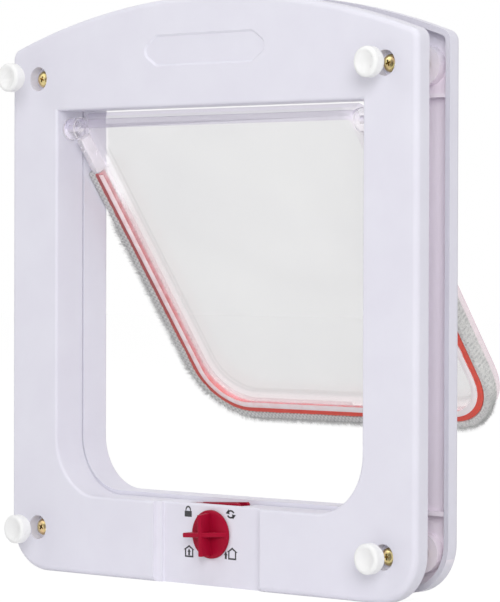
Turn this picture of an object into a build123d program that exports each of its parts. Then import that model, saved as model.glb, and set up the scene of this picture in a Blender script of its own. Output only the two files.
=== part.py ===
from build123d import *
import math
import os

# Cat flap for a door: two moulded frames clamp the door leaf and line the hole through it, a clear flap swings
# on two pins, a knob turns a pair of lock cams under the sill, and four plugs close the screw holes.
# Millimetres. X runs right seen from the room, Y from the room to the outdoors, Z up.
# The origin is the middle of the screw pattern, on the face where the room frame meets the door.

# Driving dimensions: room frame
FRAME_W = 235.0          # overall width
FRAME_H = 250.0          # overall height at the crown of the arched top
ARCH_RISE = 19.8         # crown above the shoulders
FOOT_R = 21.0            # lower corner radius in front view
SHOULDER_R = 5.0         # upper corner radius in front view
EDGE_R = 2.5             # rounding of the visible outer edge
RIM_DEPTH = 7.5          # face of the frame to the door
WALL = 2.4               # rim wall
FACE_T = 2.2             # face plate
RIB_T = 1.8              # stiffening ribs
RIB_AT = 56.0            # upright ribs from the centre line
RIB_SHY = 0.6            # rib edges stand back from the door

# Driving dimensions: blank label panel under the crown
LABEL_W = 76.4
LABEL_H = 13.6
LABEL_POINT = 10.0       # length of each pointed end
LABEL_R = 4.0
LABEL_DEPTH = 0.8
LABEL_SLOPE = 0.9        # width of its sloped edge
LABEL_DROP = 22.6        # middle of the panel below the crown

# Driving dimensions: screws through the door
SCREW_SIDE = 17.0        # screws in from the side edges
SCREW_FOOT = 19.0        # lower screw row above the lower edge
SCREW_CROWN = 32.4       # upper screw row below the crown
SCREW_D = 3.9            # shank through the door
SCREW_NECK_D = 5.0       # neck that centres the screw in the room frame
SCREW_CORE_D = 3.0       # thread core in the outdoor frame's boss
SCREW_HEAD_D = 7.4
SCREW_HEAD_H = 2.6
SCREW_HEAD_C = 1.3       # chamfer of the pan head
SCREW_DRIVE_W = 4.1      # cross recess
SCREW_DRIVE_T = 1.1
SCREW_DRIVE_H = 1.1
HEAD_SINK = 2.0          # top of the screw head below the face
MOUTH_D = 10.6           # counterbore mouth
BOSS_WALL = 1.8          # boss round each counterbore

# Driving dimensions: passage through the door
DOOR_T = 16.7            # door leaf clamped between the frames
STILE_W = 28.7           # side edge to the passage
SILL_RAIL = 34.6         # lower edge to the sill
HEAD_RAIL = 46.65        # ceiling to the crown
TUNNEL_R = 25.0          # lower corners of the passage
TUNNEL_EDGE_R = 1.3      # rounding of the passage mouth
COLLAR_T = 2.2           # collar wall
COLLAR_LEN = 15.8        # face to the end of the room collar
SEAM_GAP = 0.6           # room collar to outdoor collar

# Driving dimensions: outdoor frame, given as differences from the room frame
REAR_INSET = 3.0         # narrower at each side
REAR_LIFT = 2.5          # lower edge higher
REAR_CROWN = 0.3         # crown higher
REAR_RIM = 7.0
REAR_TUNNEL_IN = 0.4     # passage narrower at each side
REAR_SILL_UP = 1.8
REAR_TOP_UP = 1.05
REAR_TUNNEL_R = 23.0
REAR_BOSS_D = 16.0
REAR_BOSS_SHY = 0.4      # boss faces stand back from the door
REAR_LEAD_D = 6.9        # lead-in at each screw boss
REAR_LEAD = 1.4

# Driving dimensions: lock pocket, knob and cams
POCKET_W = 56.4          # centred on the lock axis
POCKET_DEPTH = 4.0
POCKET_FLOOR_T = 2.0
POCKET_LIP_R = 2.8
POCKET_COVE_R = 0.9      # wall to floor
POCKET_SILL_R = 1.0
LOCK_X = 2.2             # lock axis right of the centre line
LOCK_Z = 22.0            # lock axis above the lower edge
LOCK_REST = 2.8          # degrees the knob stands off square
KNOB_D = 20.6
KNOB_T = 1.6
KNOB_C = 0.6             # chamfer of the disc
FIN_T = 2.0
FIN_H = 6.8
FIN_IN = 1.2             # fin ends in from the disc edge
FIN_SLOPE = 0.6          # sloped end of the upright fin
POINTER_OUT = 0.6        # tail of the pointer past the upright fin's reach
POINTER_IN = 0.4         # tip of the pointer in from the disc edge
POINTER_TIP = 0.8        # height of the pointer's tip
SPINDLE_D = 7.0
DRIVE_SQ = 5.0           # square drive between knob and cams
CAM_RISE = 5.4           # lobes above the sill
FLAT_RISE = 0.5          # flats above the sill
CAM_T = 1.8
CAM_HUB_D = 13.0
TAIL_D = 5.0
BRACKET_SIDE = 3.0       # bracket wider than the hub at each side
LOCK_SCREW_D = 2.6       # screw that holds cams and knob together
LOCK_SCREW_BITE = 4.0    # its length in the knob's square drive
LOCK_HEAD_D = 8.0
LOCK_HEAD_H = 1.8

# Driving dimensions: flap
HINGE_Y = 8.0            # hinge axis behind the face
HINGE_DROP = 7.85        # hinge axis below the ceiling
SWING = 36.0             # flap angle towards the outdoors as modelled, degrees
FLAP_TOP = 4.6           # rim above the hinge axis
FLAP_R = 21.5            # lower corners
FLAP_SHOULDER_R = 3.0    # upper corners
RIM_FRONT = 3.8          # rim in front of the hinge axis
RIM_BACK = 5.5           # rim behind the hinge axis
FLAP_WALL = 2.0
PANEL_T = 1.8
TRAY_R = 1.4             # panel to rim, inside the tray
BARREL_D = 9.4
PIN_D = 3.0
PIN_IN = 1.0             # pin stops outside the rim face
PIN_SHORT = 0.5          # pin ends short of its socket
SOCKET_D = 8.4           # boss round each pin outside the collar
SOCKET_LEN = 4.5
WEB_T = 3.2              # web under each barrel
WEB_H = 13.0
STRIKER_W = 10.0         # tab that the cams catch
STRIKER_T = 2.7
STRIKER_UP = 0.4         # end of the tab above the pile tips
STRIKER_R = 2.0

# Driving dimensions: draught strip round the flap
TAPE_T = 2.2
PILE_SIDE = 5.0
PILE_FOOT = 4.6
STRIP_START = 22.4       # strip begins this far below the hinge axis
STRIP_BACK = 0.5         # strip stands in from the front of the rim
TAPE_REAR = 0.5          # tape behind the hinge axis
SKIRT_T = 2.4            # clear skirt behind the strip
SKIRT_IN = 1.2           # skirt ends inside the pile tips
SKIRT_R = 4.0            # upper corners of the skirt

# Driving dimensions: plugs, with the distance each is drawn out of its hole
PLUG_D = 12.6
PLUG_T = 4.2
PLUG_STEM = 1.9
PLUG_WALL = 1.6
PLUG_EDGE = 1.6          # width of the rounded edge
PLUG_EDGE_H = 1.2        # and its height
PLUG_DISH_D = 7.6
PLUG_DISH = 0.7
PLUG_OUT = {"top_left": 13.2, "top_right": 6.6, "low_left": 9.1, "low_right": 5.3}

# Clearances
RUN_FIT = 0.06           # radial, shafts and pins that turn
PLUG_FIT = 0.08          # radial, plug stem in its hole
SCREW_FIT = 0.1          # radial, screw neck in the room frame
SCREW_SHY = 0.2          # shank outside the door gap at each end
BARREL_GAP = 0.6         # barrel ends to the collar
SIDE_GAP = 0.5           # beside turning parts
CAM_GAP = 0.4            # cam faces to the frame, pile to the cams
KNOB_GAP = 0.3           # knob disc to the pocket floor
STRIKER_GAP = 0.7        # striker to each cam
PILE_GAP = 0.4           # pile tips to the passage sides
SILL_GAP = 0.5           # pile tips to the sill

# Derived sizes
TUNNEL_W = FRAME_W - 2 * STILE_W
SCREW_PITCH_X = FRAME_W - 2 * SCREW_SIDE
SCREW_PITCH_Z = FRAME_H - SCREW_FOOT - SCREW_CROWN
REAR_W = FRAME_W - 2 * REAR_INSET
REAR_TUNNEL_W = TUNNEL_W - 2 * REAR_TUNNEL_IN
BOSS_D = MOUTH_D + 2 * BOSS_WALL
PILE_W = REAR_TUNNEL_W - 2 * PILE_GAP
TAPE_W = PILE_W - 2 * PILE_SIDE
FLAP_W = TAPE_W - 2 * TAPE_T
STRIP_FRONT = RIM_FRONT - STRIP_BACK
STRIP_REAR = RIM_BACK - SKIRT_T
CAM_R = SILL_RAIL - LOCK_Z + CAM_RISE
CAM_FLAT = SILL_RAIL - LOCK_Z + FLAT_RISE

# Derived positions, measured from the origin
FACE_Y = -RIM_DEPTH
PLATE_Y = FACE_Y + FACE_T
FOOT_Z = -(SCREW_FOOT + SCREW_PITCH_Z / 2)
CROWN_Z = FOOT_Z + FRAME_H
SHOULDER_Z = CROWN_Z - ARCH_RISE
SILL_Z = FOOT_Z + SILL_RAIL
CEIL_Z = CROWN_Z - HEAD_RAIL
COLLAR_Y = FACE_Y + COLLAR_LEN
REAR_RIM_Y = DOOR_T
REAR_Y = DOOR_T + REAR_RIM
REAR_PLATE_Y = REAR_Y - FACE_T
REAR_COLLAR_Y = COLLAR_Y + SEAM_GAP
REAR_FOOT_Z = FOOT_Z + REAR_LIFT
REAR_CROWN_Z = CROWN_Z + REAR_CROWN
REAR_SILL_Z = SILL_Z + REAR_SILL_UP
REAR_CEIL_Z = CEIL_Z + REAR_TOP_UP
SEAT_Y = FACE_Y + HEAD_SINK + SCREW_HEAD_H
SCREW_TIP_Y = REAR_PLATE_Y
AXIS_Y = FACE_Y + HINGE_Y
AXIS_Z = CEIL_Z - HINGE_DROP
LOCK_AZ = FOOT_Z + LOCK_Z
FLOOR_Y = FACE_Y + POCKET_DEPTH
FLOOR_BACK_Y = FLOOR_Y + POCKET_FLOOR_T
KNOB_Y = FLOOR_Y - KNOB_GAP
CAM_Y = FLOOR_BACK_Y + CAM_GAP
STRIKER_Y = CAM_Y + CAM_T + STRIKER_GAP
REAR_CAM_Y = STRIKER_Y + STRIKER_T + STRIKER_GAP
BRACKET_Y = REAR_CAM_Y + CAM_T + CAM_GAP
TAIL_Y = COLLAR_Y + CAM_GAP
LOCK_SCREW_Y = REAR_CAM_Y - LOCK_SCREW_BITE
COLLAR_X = TUNNEL_W / 2 + COLLAR_T
BARREL_X = TUNNEL_W / 2 - BARREL_GAP
SOCKET_X = COLLAR_X + SOCKET_LEN
PIN_X0 = FLAP_W / 2 + PIN_IN
PIN_X1 = SOCKET_X - PIN_SHORT
PILE_LEN = AXIS_Z - REAR_SILL_Z - SILL_GAP
TAPE_LEN = PILE_LEN - PILE_FOOT
FLAP_LEN = TAPE_LEN - TAPE_T
PILE_Z = AXIS_Z - PILE_LEN
FLAP_FOOT_Z = AXIS_Z - FLAP_LEN
CORNERS = {
    "top_left": (-SCREW_PITCH_X / 2, SCREW_PITCH_Z / 2),
    "top_right": (SCREW_PITCH_X / 2, SCREW_PITCH_Z / 2),
    "low_left": (-SCREW_PITCH_X / 2, -SCREW_PITCH_Z / 2),
    "low_right": (SCREW_PITCH_X / 2, -SCREW_PITCH_Z / 2),
}


def upright(y):
    """Sketch plane facing the room at depth y, with sketch x and y along X and Z."""
    return Plane(origin=(0, y, 0), x_dir=(1, 0, 0), z_dir=(0, -1, 0))


def prism(sketch, y0, y1):
    """Solid of a front-view sketch between two depths."""
    return extrude(upright(y1) * sketch, amount=y1 - y0)


def rod(x, z, d, y0, y1):
    """Round bar along Y."""
    return prism(Pos(x, z) * Circle(d / 2), y0, y1)


def hinge_rod(d, x0, x1):
    """Round bar along the hinge axis between two places on it."""
    return Pos((x0 + x1) / 2, AXIS_Y, AXIS_Z) * Rot(0, 90, 0) * Cylinder(d / 2, x1 - x0)


def both_sides(x0, x1):
    """The same stretch of X on the left and on the right, each from low to high."""
    return ((-x1, -x0), (x0, x1))


def block(x0, x1, y0, y1, z0, z1):
    """Rectangular block between two corners."""
    return Pos((x0 + x1) / 2, (y0 + y1) / 2, (z0 + z1) / 2) * Box(x1 - x0, y1 - y0, z1 - z0)


def arched(width, foot, crown):
    """Front view of a frame: straight sides, arched top, rounded feet and shoulders."""
    half, shoulder = width / 2, crown - ARCH_RISE
    edge = Line((-half, shoulder), (-half, foot))
    edge += Line((-half, foot), (half, foot))
    edge += Line((half, foot), (half, shoulder))
    edge += ThreePointArc((half, shoulder), (0, crown), (-half, shoulder))
    face = make_face(edge)
    face = fillet(face.vertices().group_by(Axis.Y)[0], FOOT_R)
    corners = [v for v in face.vertices() if abs(v.Y - shoulder) < 0.01]
    return fillet(corners, SHOULDER_R)


def doorway(width, foot, top, foot_r, top_r=0.0):
    """Front view of a passage or flap: rounded lower corners, square or eased upper ones."""
    face = Pos(0, (foot + top) / 2) * Rectangle(width, top - foot)
    face = fillet(face.vertices().group_by(Axis.Y)[0], foot_r)
    if top_r > 0:
        face = fillet(face.vertices().group_by(Axis.Y)[-1], top_r)
    return face


def ribs(half_in, half_out, sill, ceil, foot, crown, y0, y1):
    """Ribs that carry the collar's sill and ceiling out to the rim, and uprights in both rails."""
    out = []
    for x0, x1 in both_sides(half_in, half_out):
        out.append(block(x0, x1, y0, y1, ceil, ceil + RIB_T))
        out.append(block(x0, x1, y0, y1, sill - RIB_T, sill))
    for x0, x1 in both_sides(RIB_AT - RIB_T / 2, RIB_AT + RIB_T / 2):
        out.append(block(x0, x1, y0, y1, ceil, crown))
        out.append(block(x0, x1, y0, y1, foot, sill))
    return out


def make_inner_frame():
    """Room frame: arched shell, collar, ribs, screw bosses, hinge sockets, lock pocket and bracket."""
    outline = arched(FRAME_W, FOOT_Z, CROWN_Z)
    passage = doorway(TUNNEL_W, SILL_Z, CEIL_Z, TUNNEL_R)
    frame = prism(outline, FACE_Y, 0) - prism(passage, FACE_Y, 0)
    face = frame.faces().sort_by(Axis.Y)[0]
    frame = fillet(face.outer_wire().edges(), EDGE_R)
    face = frame.faces().sort_by(Axis.Y)[0]
    frame = fillet(face.inner_wires()[0].edges(), TUNNEL_EDGE_R)
    lining = offset(passage, COLLAR_T)
    tunnel = prism(passage, FACE_Y, COLLAR_Y)
    frame -= prism(offset(outline, -WALL), PLATE_Y, 0) - prism(lining, FACE_Y, 0)
    frame += prism(lining, PLATE_Y, COLLAR_Y) - tunnel
    mid = FACE_Y + FACE_T / 2
    stiff = ribs(TUNNEL_W / 2, FRAME_W / 2, SILL_Z, CEIL_Z, FOOT_Z, CROWN_Z, mid, -RIB_SHY)
    half = POCKET_W / 2 + FACE_T
    stiff.append(block(LOCK_X - half, LOCK_X + half, mid, FLOOR_BACK_Y, FOOT_Z, SILL_Z))
    stiff += [rod(x, z, BOSS_D, mid, -RIB_SHY) for x, z in CORNERS.values()]
    inside = prism(offset(outline, -WALL / 2), mid, 0)
    for item in stiff:
        frame += (item & inside) - tunnel
    frame -= lock_pocket()
    sill_edge = [e for e in frame.edges().filter_by(Axis.X)
                 if abs(e.center().Y - FLOOR_Y) < 0.01 and abs(e.center().Z - SILL_Z) < 0.01]
    frame = fillet(sill_edge, POCKET_SILL_R)
    frame += lock_bracket()
    frame -= cam_slot()
    frame -= rod(LOCK_X, LOCK_AZ, SPINDLE_D + 2 * RUN_FIT, FACE_Y, CAM_Y)
    for x, z in CORNERS.values():
        frame -= rod(x, z, MOUTH_D, FACE_Y - 1, SEAT_Y)
        frame -= rod(x, z, SCREW_NECK_D + 2 * SCREW_FIT, SEAT_Y, 0)
    frame -= label_recess()
    for x0, x1 in both_sides(COLLAR_X - COLLAR_T / 2, SOCKET_X):
        frame += hinge_rod(SOCKET_D, x0, x1)
    for x0, x1 in both_sides(TUNNEL_W / 2 - 1, PIN_X1):
        frame -= hinge_rod(PIN_D, x0, x1)
    return frame


def label_recess():
    """Shallow blank panel under the crown, long hexagon with eased corners and a sloped edge."""
    z, half, tall = CROWN_Z - LABEL_DROP, LABEL_W / 2, LABEL_H / 2
    flat = half - LABEL_POINT
    face = make_face(Polyline((-half, z), (-flat, z - tall), (flat, z - tall), (half, z), (flat, z + tall),
                              (-flat, z + tall), close=True))
    floor = offset(fillet(face.vertices(), LABEL_R), -LABEL_SLOPE)
    draft = math.degrees(math.atan2(LABEL_SLOPE, LABEL_DEPTH))
    return extrude(upright(FACE_Y + LABEL_DEPTH) * floor, amount=LABEL_DEPTH, taper=-draft)


def lock_pocket():
    """Cutter for the sunk panel round the knob, with rounded lips left and right."""
    half, r = POCKET_W / 2, POCKET_LIP_R
    y0, y1 = FACE_Y, FLOOR_Y
    edge = Polyline((-half, y0 + r), (-half, y1), (half, y1), (half, y0 + r))
    edge += RadiusArc((half, y0 + r), (half + r, y0), r)
    edge += Polyline((half + r, y0), (half + r, y0 - 1), (-half - r, y0 - 1), (-half - r, y0))
    edge += RadiusArc((-half - r, y0), (-half, y0 + r), r)
    face = make_face(edge)
    face = fillet(face.vertices().group_by(Axis.Y)[-1], POCKET_COVE_R)
    return extrude(Pos(LOCK_X, 0, FOOT_Z - 1) * face, amount=SILL_RAIL + 2)


def lock_bracket():
    """Plate hung from the end of the sill that carries the tail of the lock cams."""
    half = CAM_HUB_D / 2 + BRACKET_SIDE
    plate = block(LOCK_X - half, LOCK_X + half, BRACKET_Y, COLLAR_Y, LOCK_AZ, SILL_Z - COLLAR_T / 2)
    plate += rod(LOCK_X, LOCK_AZ, 2 * half, BRACKET_Y, COLLAR_Y)
    return plate - rod(LOCK_X, LOCK_AZ, TAIL_D + 2 * RUN_FIT, BRACKET_Y, COLLAR_Y)


def cam_slot():
    """Slot in the sill that both cams turn through."""
    under = SILL_Z - COLLAR_T
    half = (CAM_R ** 2 - (under - LOCK_AZ) ** 2) ** 0.5 + SIDE_GAP
    return block(LOCK_X - half, LOCK_X + half, FLOOR_BACK_Y, BRACKET_Y, under - 1, SILL_Z + 1)


def make_outer_frame():
    """Outdoor frame: shallower shell, its own collar, ribs and the bosses the screws bite into."""
    outline = arched(REAR_W, REAR_FOOT_Z, REAR_CROWN_Z)
    passage = doorway(REAR_TUNNEL_W, REAR_SILL_Z, REAR_CEIL_Z, REAR_TUNNEL_R)
    frame = prism(outline, REAR_RIM_Y, REAR_Y) - prism(passage, REAR_RIM_Y, REAR_Y)
    face = frame.faces().sort_by(Axis.Y)[-1]
    frame = fillet(face.outer_wire().edges(), EDGE_R)
    face = frame.faces().sort_by(Axis.Y)[-1]
    frame = fillet(face.inner_wires()[0].edges(), TUNNEL_EDGE_R)
    lining = offset(passage, COLLAR_T)
    tunnel = prism(passage, REAR_COLLAR_Y, REAR_Y)
    frame -= prism(offset(outline, -WALL), REAR_RIM_Y, REAR_PLATE_Y) - prism(lining, REAR_RIM_Y, REAR_Y)
    frame += prism(lining, REAR_COLLAR_Y, REAR_PLATE_Y) - tunnel
    mid = REAR_Y - FACE_T / 2
    stiff = ribs(REAR_TUNNEL_W / 2, REAR_W / 2, REAR_SILL_Z, REAR_CEIL_Z, REAR_FOOT_Z, REAR_CROWN_Z,
                 REAR_RIM_Y + RIB_SHY, mid)
    stiff += [rod(x, z, REAR_BOSS_D, REAR_RIM_Y + REAR_BOSS_SHY, mid) for x, z in CORNERS.values()]
    inside = prism(offset(outline, -WALL / 2), REAR_RIM_Y, mid)
    for item in stiff:
        frame += (item & inside) - tunnel
    for x, z in CORNERS.values():
        frame -= rod(x, z, SCREW_CORE_D, REAR_RIM_Y, SCREW_TIP_Y)
        frame -= rod(x, z, REAR_LEAD_D, REAR_RIM_Y, REAR_RIM_Y + REAR_LEAD)
    return frame


def make_frame_screws():
    """Four pan-head screws with cross recesses, each with a neck, a shank and a core for the thread."""
    depth = 2 * SCREW_DRIVE_H
    cross = Box(SCREW_DRIVE_W, depth, SCREW_DRIVE_T) + Box(SCREW_DRIVE_T, depth, SCREW_DRIVE_W)
    head = rod(0, 0, SCREW_HEAD_D, SEAT_Y - SCREW_HEAD_H, SEAT_Y)
    head = chamfer(head.edges().group_by(Axis.Y)[0], SCREW_HEAD_C)
    screw = head - Pos(0, SEAT_Y - SCREW_HEAD_H, 0) * Rot(0, 20, 0) * cross
    screw += rod(0, 0, SCREW_NECK_D, SEAT_Y, -SCREW_SHY)
    screw += rod(0, 0, SCREW_D, -SCREW_SHY, REAR_RIM_Y + SCREW_SHY)
    screw += rod(0, 0, SCREW_CORE_D, REAR_RIM_Y + SCREW_SHY, SCREW_TIP_Y)
    return [Pos(x, 0, z) * screw for x, z in CORNERS.values()]


def make_flap_panel():
    """Clear flap, hanging straight down: rim, panel, skirt behind the strip, barrels and striker."""
    outer = doorway(FLAP_W, FLAP_FOOT_Z, AXIS_Z + FLAP_TOP, FLAP_R, FLAP_SHOULDER_R)
    front, back = AXIS_Y - RIM_FRONT, AXIS_Y + RIM_BACK
    well = prism(offset(outer, -FLAP_WALL), front, back - PANEL_T)
    tray = prism(outer, front, back) - fillet(well.edges().group_by(Axis.Y)[-1], TRAY_R)
    skirt = doorway(PILE_W - 2 * SKIRT_IN, PILE_Z + SKIRT_IN, AXIS_Z - STRIP_START,
                    FLAP_R + TAPE_T + PILE_SIDE - SKIRT_IN, SKIRT_R)
    tray += (prism(skirt, back - SKIRT_T, back) - cam_relief()) - prism(outer, front, back)
    root = FLAP_W / 2 - FLAP_WALL / 2
    for x0, x1 in both_sides(root, BARREL_X):
        tray += hinge_rod(BARREL_D, x0, x1)
    for x0, x1 in both_sides(root, root + WEB_T):
        tray += block(x0, x1, AXIS_Y - WEB_T / 2, AXIS_Y + WEB_T / 2, AXIS_Z - WEB_H, AXIS_Z)
    for x0, x1 in both_sides(PIN_X0 - SIDE_GAP, BARREL_X + 1):
        tray -= hinge_rod(PIN_D + 2 * RUN_FIT, x0, x1)
    half = STRIKER_W / 2
    tab = block(LOCK_X - half, LOCK_X + half, STRIKER_Y, STRIKER_Y + STRIKER_T, PILE_Z + STRIKER_UP,
                FLAP_FOOT_Z + FLAP_WALL / 2)
    return tray + fillet(tab.edges().filter_by(Axis.Y).group_by(Axis.Z)[0], STRIKER_R)


def strip_band(width0, len0, r0, width1, len1, r1, rear):
    """U-shaped band between two outlines round the flap, below the start of the strip and back to a depth."""
    y0, y1 = AXIS_Y - STRIP_FRONT, AXIS_Y + rear
    band = doorway(width1, AXIS_Z - len1, AXIS_Z, r1) - doorway(width0, AXIS_Z - len0, AXIS_Z + 1, r0)
    return prism(band, y0, y1) & block(-FRAME_W, FRAME_W, y0, y1, AXIS_Z - len1, AXIS_Z - STRIP_START)


def strip_cutter(half, front, top):
    """Cutter at the back of the flap's lower edge round the lock axis, from a depth and up to a height."""
    return block(LOCK_X - half, LOCK_X + half, front, AXIS_Y + RIM_BACK, PILE_Z - 1, top)


def cam_relief():
    """Cutter that keeps the flap's lower edge clear of the cam lobes."""
    reach = CAM_R + CAM_GAP
    return strip_cutter((reach ** 2 - (PILE_Z - LOCK_AZ) ** 2) ** 0.5, CAM_Y - CAM_GAP, LOCK_AZ + reach)


def make_seal_tape():
    """Adhesive tape on the outside of the flap's rim."""
    return strip_band(FLAP_W, FLAP_LEN, FLAP_R, TAPE_W, TAPE_LEN, FLAP_R + TAPE_T, TAPE_REAR)


def make_pile_seal():
    """Pile strip on the tape, cleared behind its front for the lock cams and the striker."""
    r0 = FLAP_R + TAPE_T
    pile = strip_band(TAPE_W, TAPE_LEN, r0, PILE_W, PILE_LEN, r0 + PILE_SIDE, STRIP_REAR)
    striker_gap = strip_cutter(STRIKER_W / 2 + SIDE_GAP, STRIKER_Y - SIDE_GAP, FLAP_FOOT_Z)
    return pile - cam_relief() - striker_gap


def make_hinge_pins():
    """Two plain pins through the flap's barrels into the sockets."""
    return [hinge_rod(PIN_D, x0, x1) for x0, x1 in both_sides(PIN_X0, PIN_X1)]


def make_lock_knob():
    """Knob disc with an upright fin and a pointer fin that slopes off to one side, spindle and square drive."""
    disc = Cylinder(KNOB_D / 2, KNOB_T, align=(Align.CENTER, Align.CENTER, Align.MAX))
    disc = chamfer(disc.edges().group_by(Axis.Z)[0], KNOB_C)
    half = KNOB_D / 2 - FIN_IN
    tail = half + POINTER_OUT
    grip = make_face(Polyline((-half, 0), (half, 0), (half - FIN_SLOPE, -FIN_H), (-half, -FIN_H), close=True))
    tip = KNOB_D / 2 - POINTER_IN
    pointer = make_face(Polyline((-tail, 0), (tip, 0), (tip, -POINTER_TIP), (0, -FIN_H), (-tail, -FIN_H),
                                 close=True))
    root = -KNOB_T + KNOB_C
    knob = disc + extrude(Plane(origin=(0, 0, root), x_dir=(0, 1, 0), z_dir=(1, 0, 0)) * grip,
                          amount=FIN_T / 2, both=True)
    knob += extrude(Plane(origin=(0, 0, root), x_dir=(1, 0, 0), z_dir=(0, -1, 0)) * pointer,
                    amount=FIN_T / 2, both=True)
    knob += Cylinder(SPINDLE_D / 2, CAM_Y - RUN_FIT - KNOB_Y, align=(Align.CENTER, Align.CENTER, Align.MIN))
    knob += Box(DRIVE_SQ, DRIVE_SQ, REAR_CAM_Y - KNOB_Y, align=(Align.CENTER, Align.CENTER, Align.MIN))
    bite = Cylinder(LOCK_SCREW_D / 2, LOCK_SCREW_BITE, align=(Align.CENTER, Align.CENTER, Align.MAX))
    knob -= Pos(0, 0, REAR_CAM_Y - KNOB_Y) * bite
    return Pos(LOCK_X, KNOB_Y, LOCK_AZ) * Rot(0, -LOCK_REST, 0) * Rot(-90, 0, 0) * knob


def cam_plate(turn):
    """Cam disc with two flats, the first at the top and the second turned from it by an angle."""
    face = Circle(CAM_R)
    reach = CAM_R + 1
    for angle in (0, turn):
        face -= Rot(0, 0, angle) * Pos(0, CAM_FLAT + reach / 2) * Rectangle(2 * reach, reach)
    return face


def make_lock_cams():
    """Two cams on one hub: each quarter turn leaves a flat or a lobe of either cam above the sill."""
    cams = prism(cam_plate(90), CAM_Y, CAM_Y + CAM_T)
    cams += rod(0, 0, CAM_HUB_D, CAM_Y, REAR_CAM_Y + CAM_T)
    cams += prism(cam_plate(-90), REAR_CAM_Y, REAR_CAM_Y + CAM_T)
    cams += rod(0, 0, TAIL_D, REAR_CAM_Y, TAIL_Y)
    cams -= prism(Rectangle(DRIVE_SQ, DRIVE_SQ), CAM_Y, REAR_CAM_Y)
    cams -= rod(0, 0, LOCK_SCREW_D, REAR_CAM_Y, TAIL_Y)
    return Pos(LOCK_X, 0, LOCK_AZ) * Rot(0, -LOCK_REST, 0) * cams


def make_lock_screw():
    """Screw behind the bracket that draws the cams onto the knob's square drive."""
    screw = rod(LOCK_X, LOCK_AZ, LOCK_HEAD_D, TAIL_Y, TAIL_Y + LOCK_HEAD_H)
    return screw + rod(LOCK_X, LOCK_AZ, LOCK_SCREW_D, LOCK_SCREW_Y, TAIL_Y)


def make_plug():
    """One screw-hole plug about its own axis, stem end at the origin, head towards the room."""
    r, stem_r = PLUG_D / 2, MOUTH_D / 2 - PLUG_FIT
    top = PLUG_STEM + PLUG_T
    crest = r - PLUG_EDGE
    edge = Polyline((0, 0), (stem_r, 0), (stem_r, PLUG_STEM), (r, PLUG_STEM), (r, top - PLUG_EDGE_H),
                    (r - PLUG_EDGE * 0.3, top - PLUG_EDGE_H * 0.3), (crest, top),
                    (PLUG_DISH_D / 2, top - PLUG_DISH), (0, top - PLUG_DISH), close=True)
    body = revolve(Plane.XZ * make_face(edge), Axis.Z)
    hollow = Cylinder(stem_r - PLUG_WALL, PLUG_STEM, align=(Align.CENTER, Align.CENTER, Align.MIN))
    return Rot(90, 0, 0) * (body - hollow)


def swung(shape):
    """Turn a flap piece about the hinge axis to the angle it is modelled at."""
    hinge = Pos(0, AXIS_Y, AXIS_Z)
    return hinge * Rot(SWING, 0, 0) * hinge.inverse() * shape


os.makedirs("parts", exist_ok=True)
export_step(make_inner_frame(), "parts/inner_frame.step")
export_step(make_outer_frame(), "parts/outer_frame.step")
export_step(Compound(children=make_frame_screws()), "parts/frame_screws.step")
export_step(Compound(children=make_hinge_pins()), "parts/hinge_pins.step")
export_step(swung(make_flap_panel()), "parts/flap_panel.step")
export_step(swung(make_seal_tape()), "parts/seal_tape.step")
export_step(swung(make_pile_seal()), "parts/pile_seal.step")
export_step(make_lock_knob(), "parts/lock_knob.step")
export_step(make_lock_cams(), "parts/lock_cams.step")
export_step(make_lock_screw(), "parts/lock_screw.step")
for name, (px, pz) in CORNERS.items():
    export_step(Pos(px, FACE_Y - PLUG_OUT[name], pz) * make_plug(), f"parts/plug_{name}.step")
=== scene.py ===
"""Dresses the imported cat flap.

The moulded frames, the clear flap and the lock cams stay as packed and get their finishes here.
The screws, plugs, knob, draught strip, the flap's bead and hinge ends, and the marks round the knob
are built as pieces of their own. Sizes in the assemblies are in millimetres and those in the finishes
and the studio in metres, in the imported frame: X right seen from the room, Y towards the outdoors, Z up.
"""

import logging
import math
import random
from collections.abc import Sequence
from dataclasses import dataclass
from enum import Enum

import bmesh
import bpy
from mathutils import Matrix, Vector, noise


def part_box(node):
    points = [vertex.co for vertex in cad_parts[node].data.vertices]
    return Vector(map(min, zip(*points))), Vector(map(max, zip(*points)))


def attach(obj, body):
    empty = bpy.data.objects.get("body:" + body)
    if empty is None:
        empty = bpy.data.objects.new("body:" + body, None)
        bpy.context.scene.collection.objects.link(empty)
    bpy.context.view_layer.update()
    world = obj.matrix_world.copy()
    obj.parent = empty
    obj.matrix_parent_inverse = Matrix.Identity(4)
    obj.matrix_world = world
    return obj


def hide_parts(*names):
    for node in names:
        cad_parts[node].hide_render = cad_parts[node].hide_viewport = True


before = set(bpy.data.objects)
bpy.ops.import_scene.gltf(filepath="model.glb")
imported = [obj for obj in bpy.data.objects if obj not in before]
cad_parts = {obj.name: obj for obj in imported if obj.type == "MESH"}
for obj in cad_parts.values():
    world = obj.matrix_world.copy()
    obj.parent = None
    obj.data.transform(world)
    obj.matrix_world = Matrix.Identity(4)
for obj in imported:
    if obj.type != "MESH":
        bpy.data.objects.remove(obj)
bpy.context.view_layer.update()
LOG = logging.getLogger("cat_flap")
Colour = tuple[float, float, float]
Point = tuple[float, float, float]
Pair = tuple[float, float]
Box = tuple[float, float, float, float]
Socket = bpy.types.NodeSocket
Node = bpy.types.Node
Outputs = bpy.types.NodeOutputs
Mesh = bpy.types.Mesh
BMesh = bmesh.types.BMesh
BMVert = bmesh.types.BMVert
BMEdge = bmesh.types.BMEdge
BMFace = bmesh.types.BMFace


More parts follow.
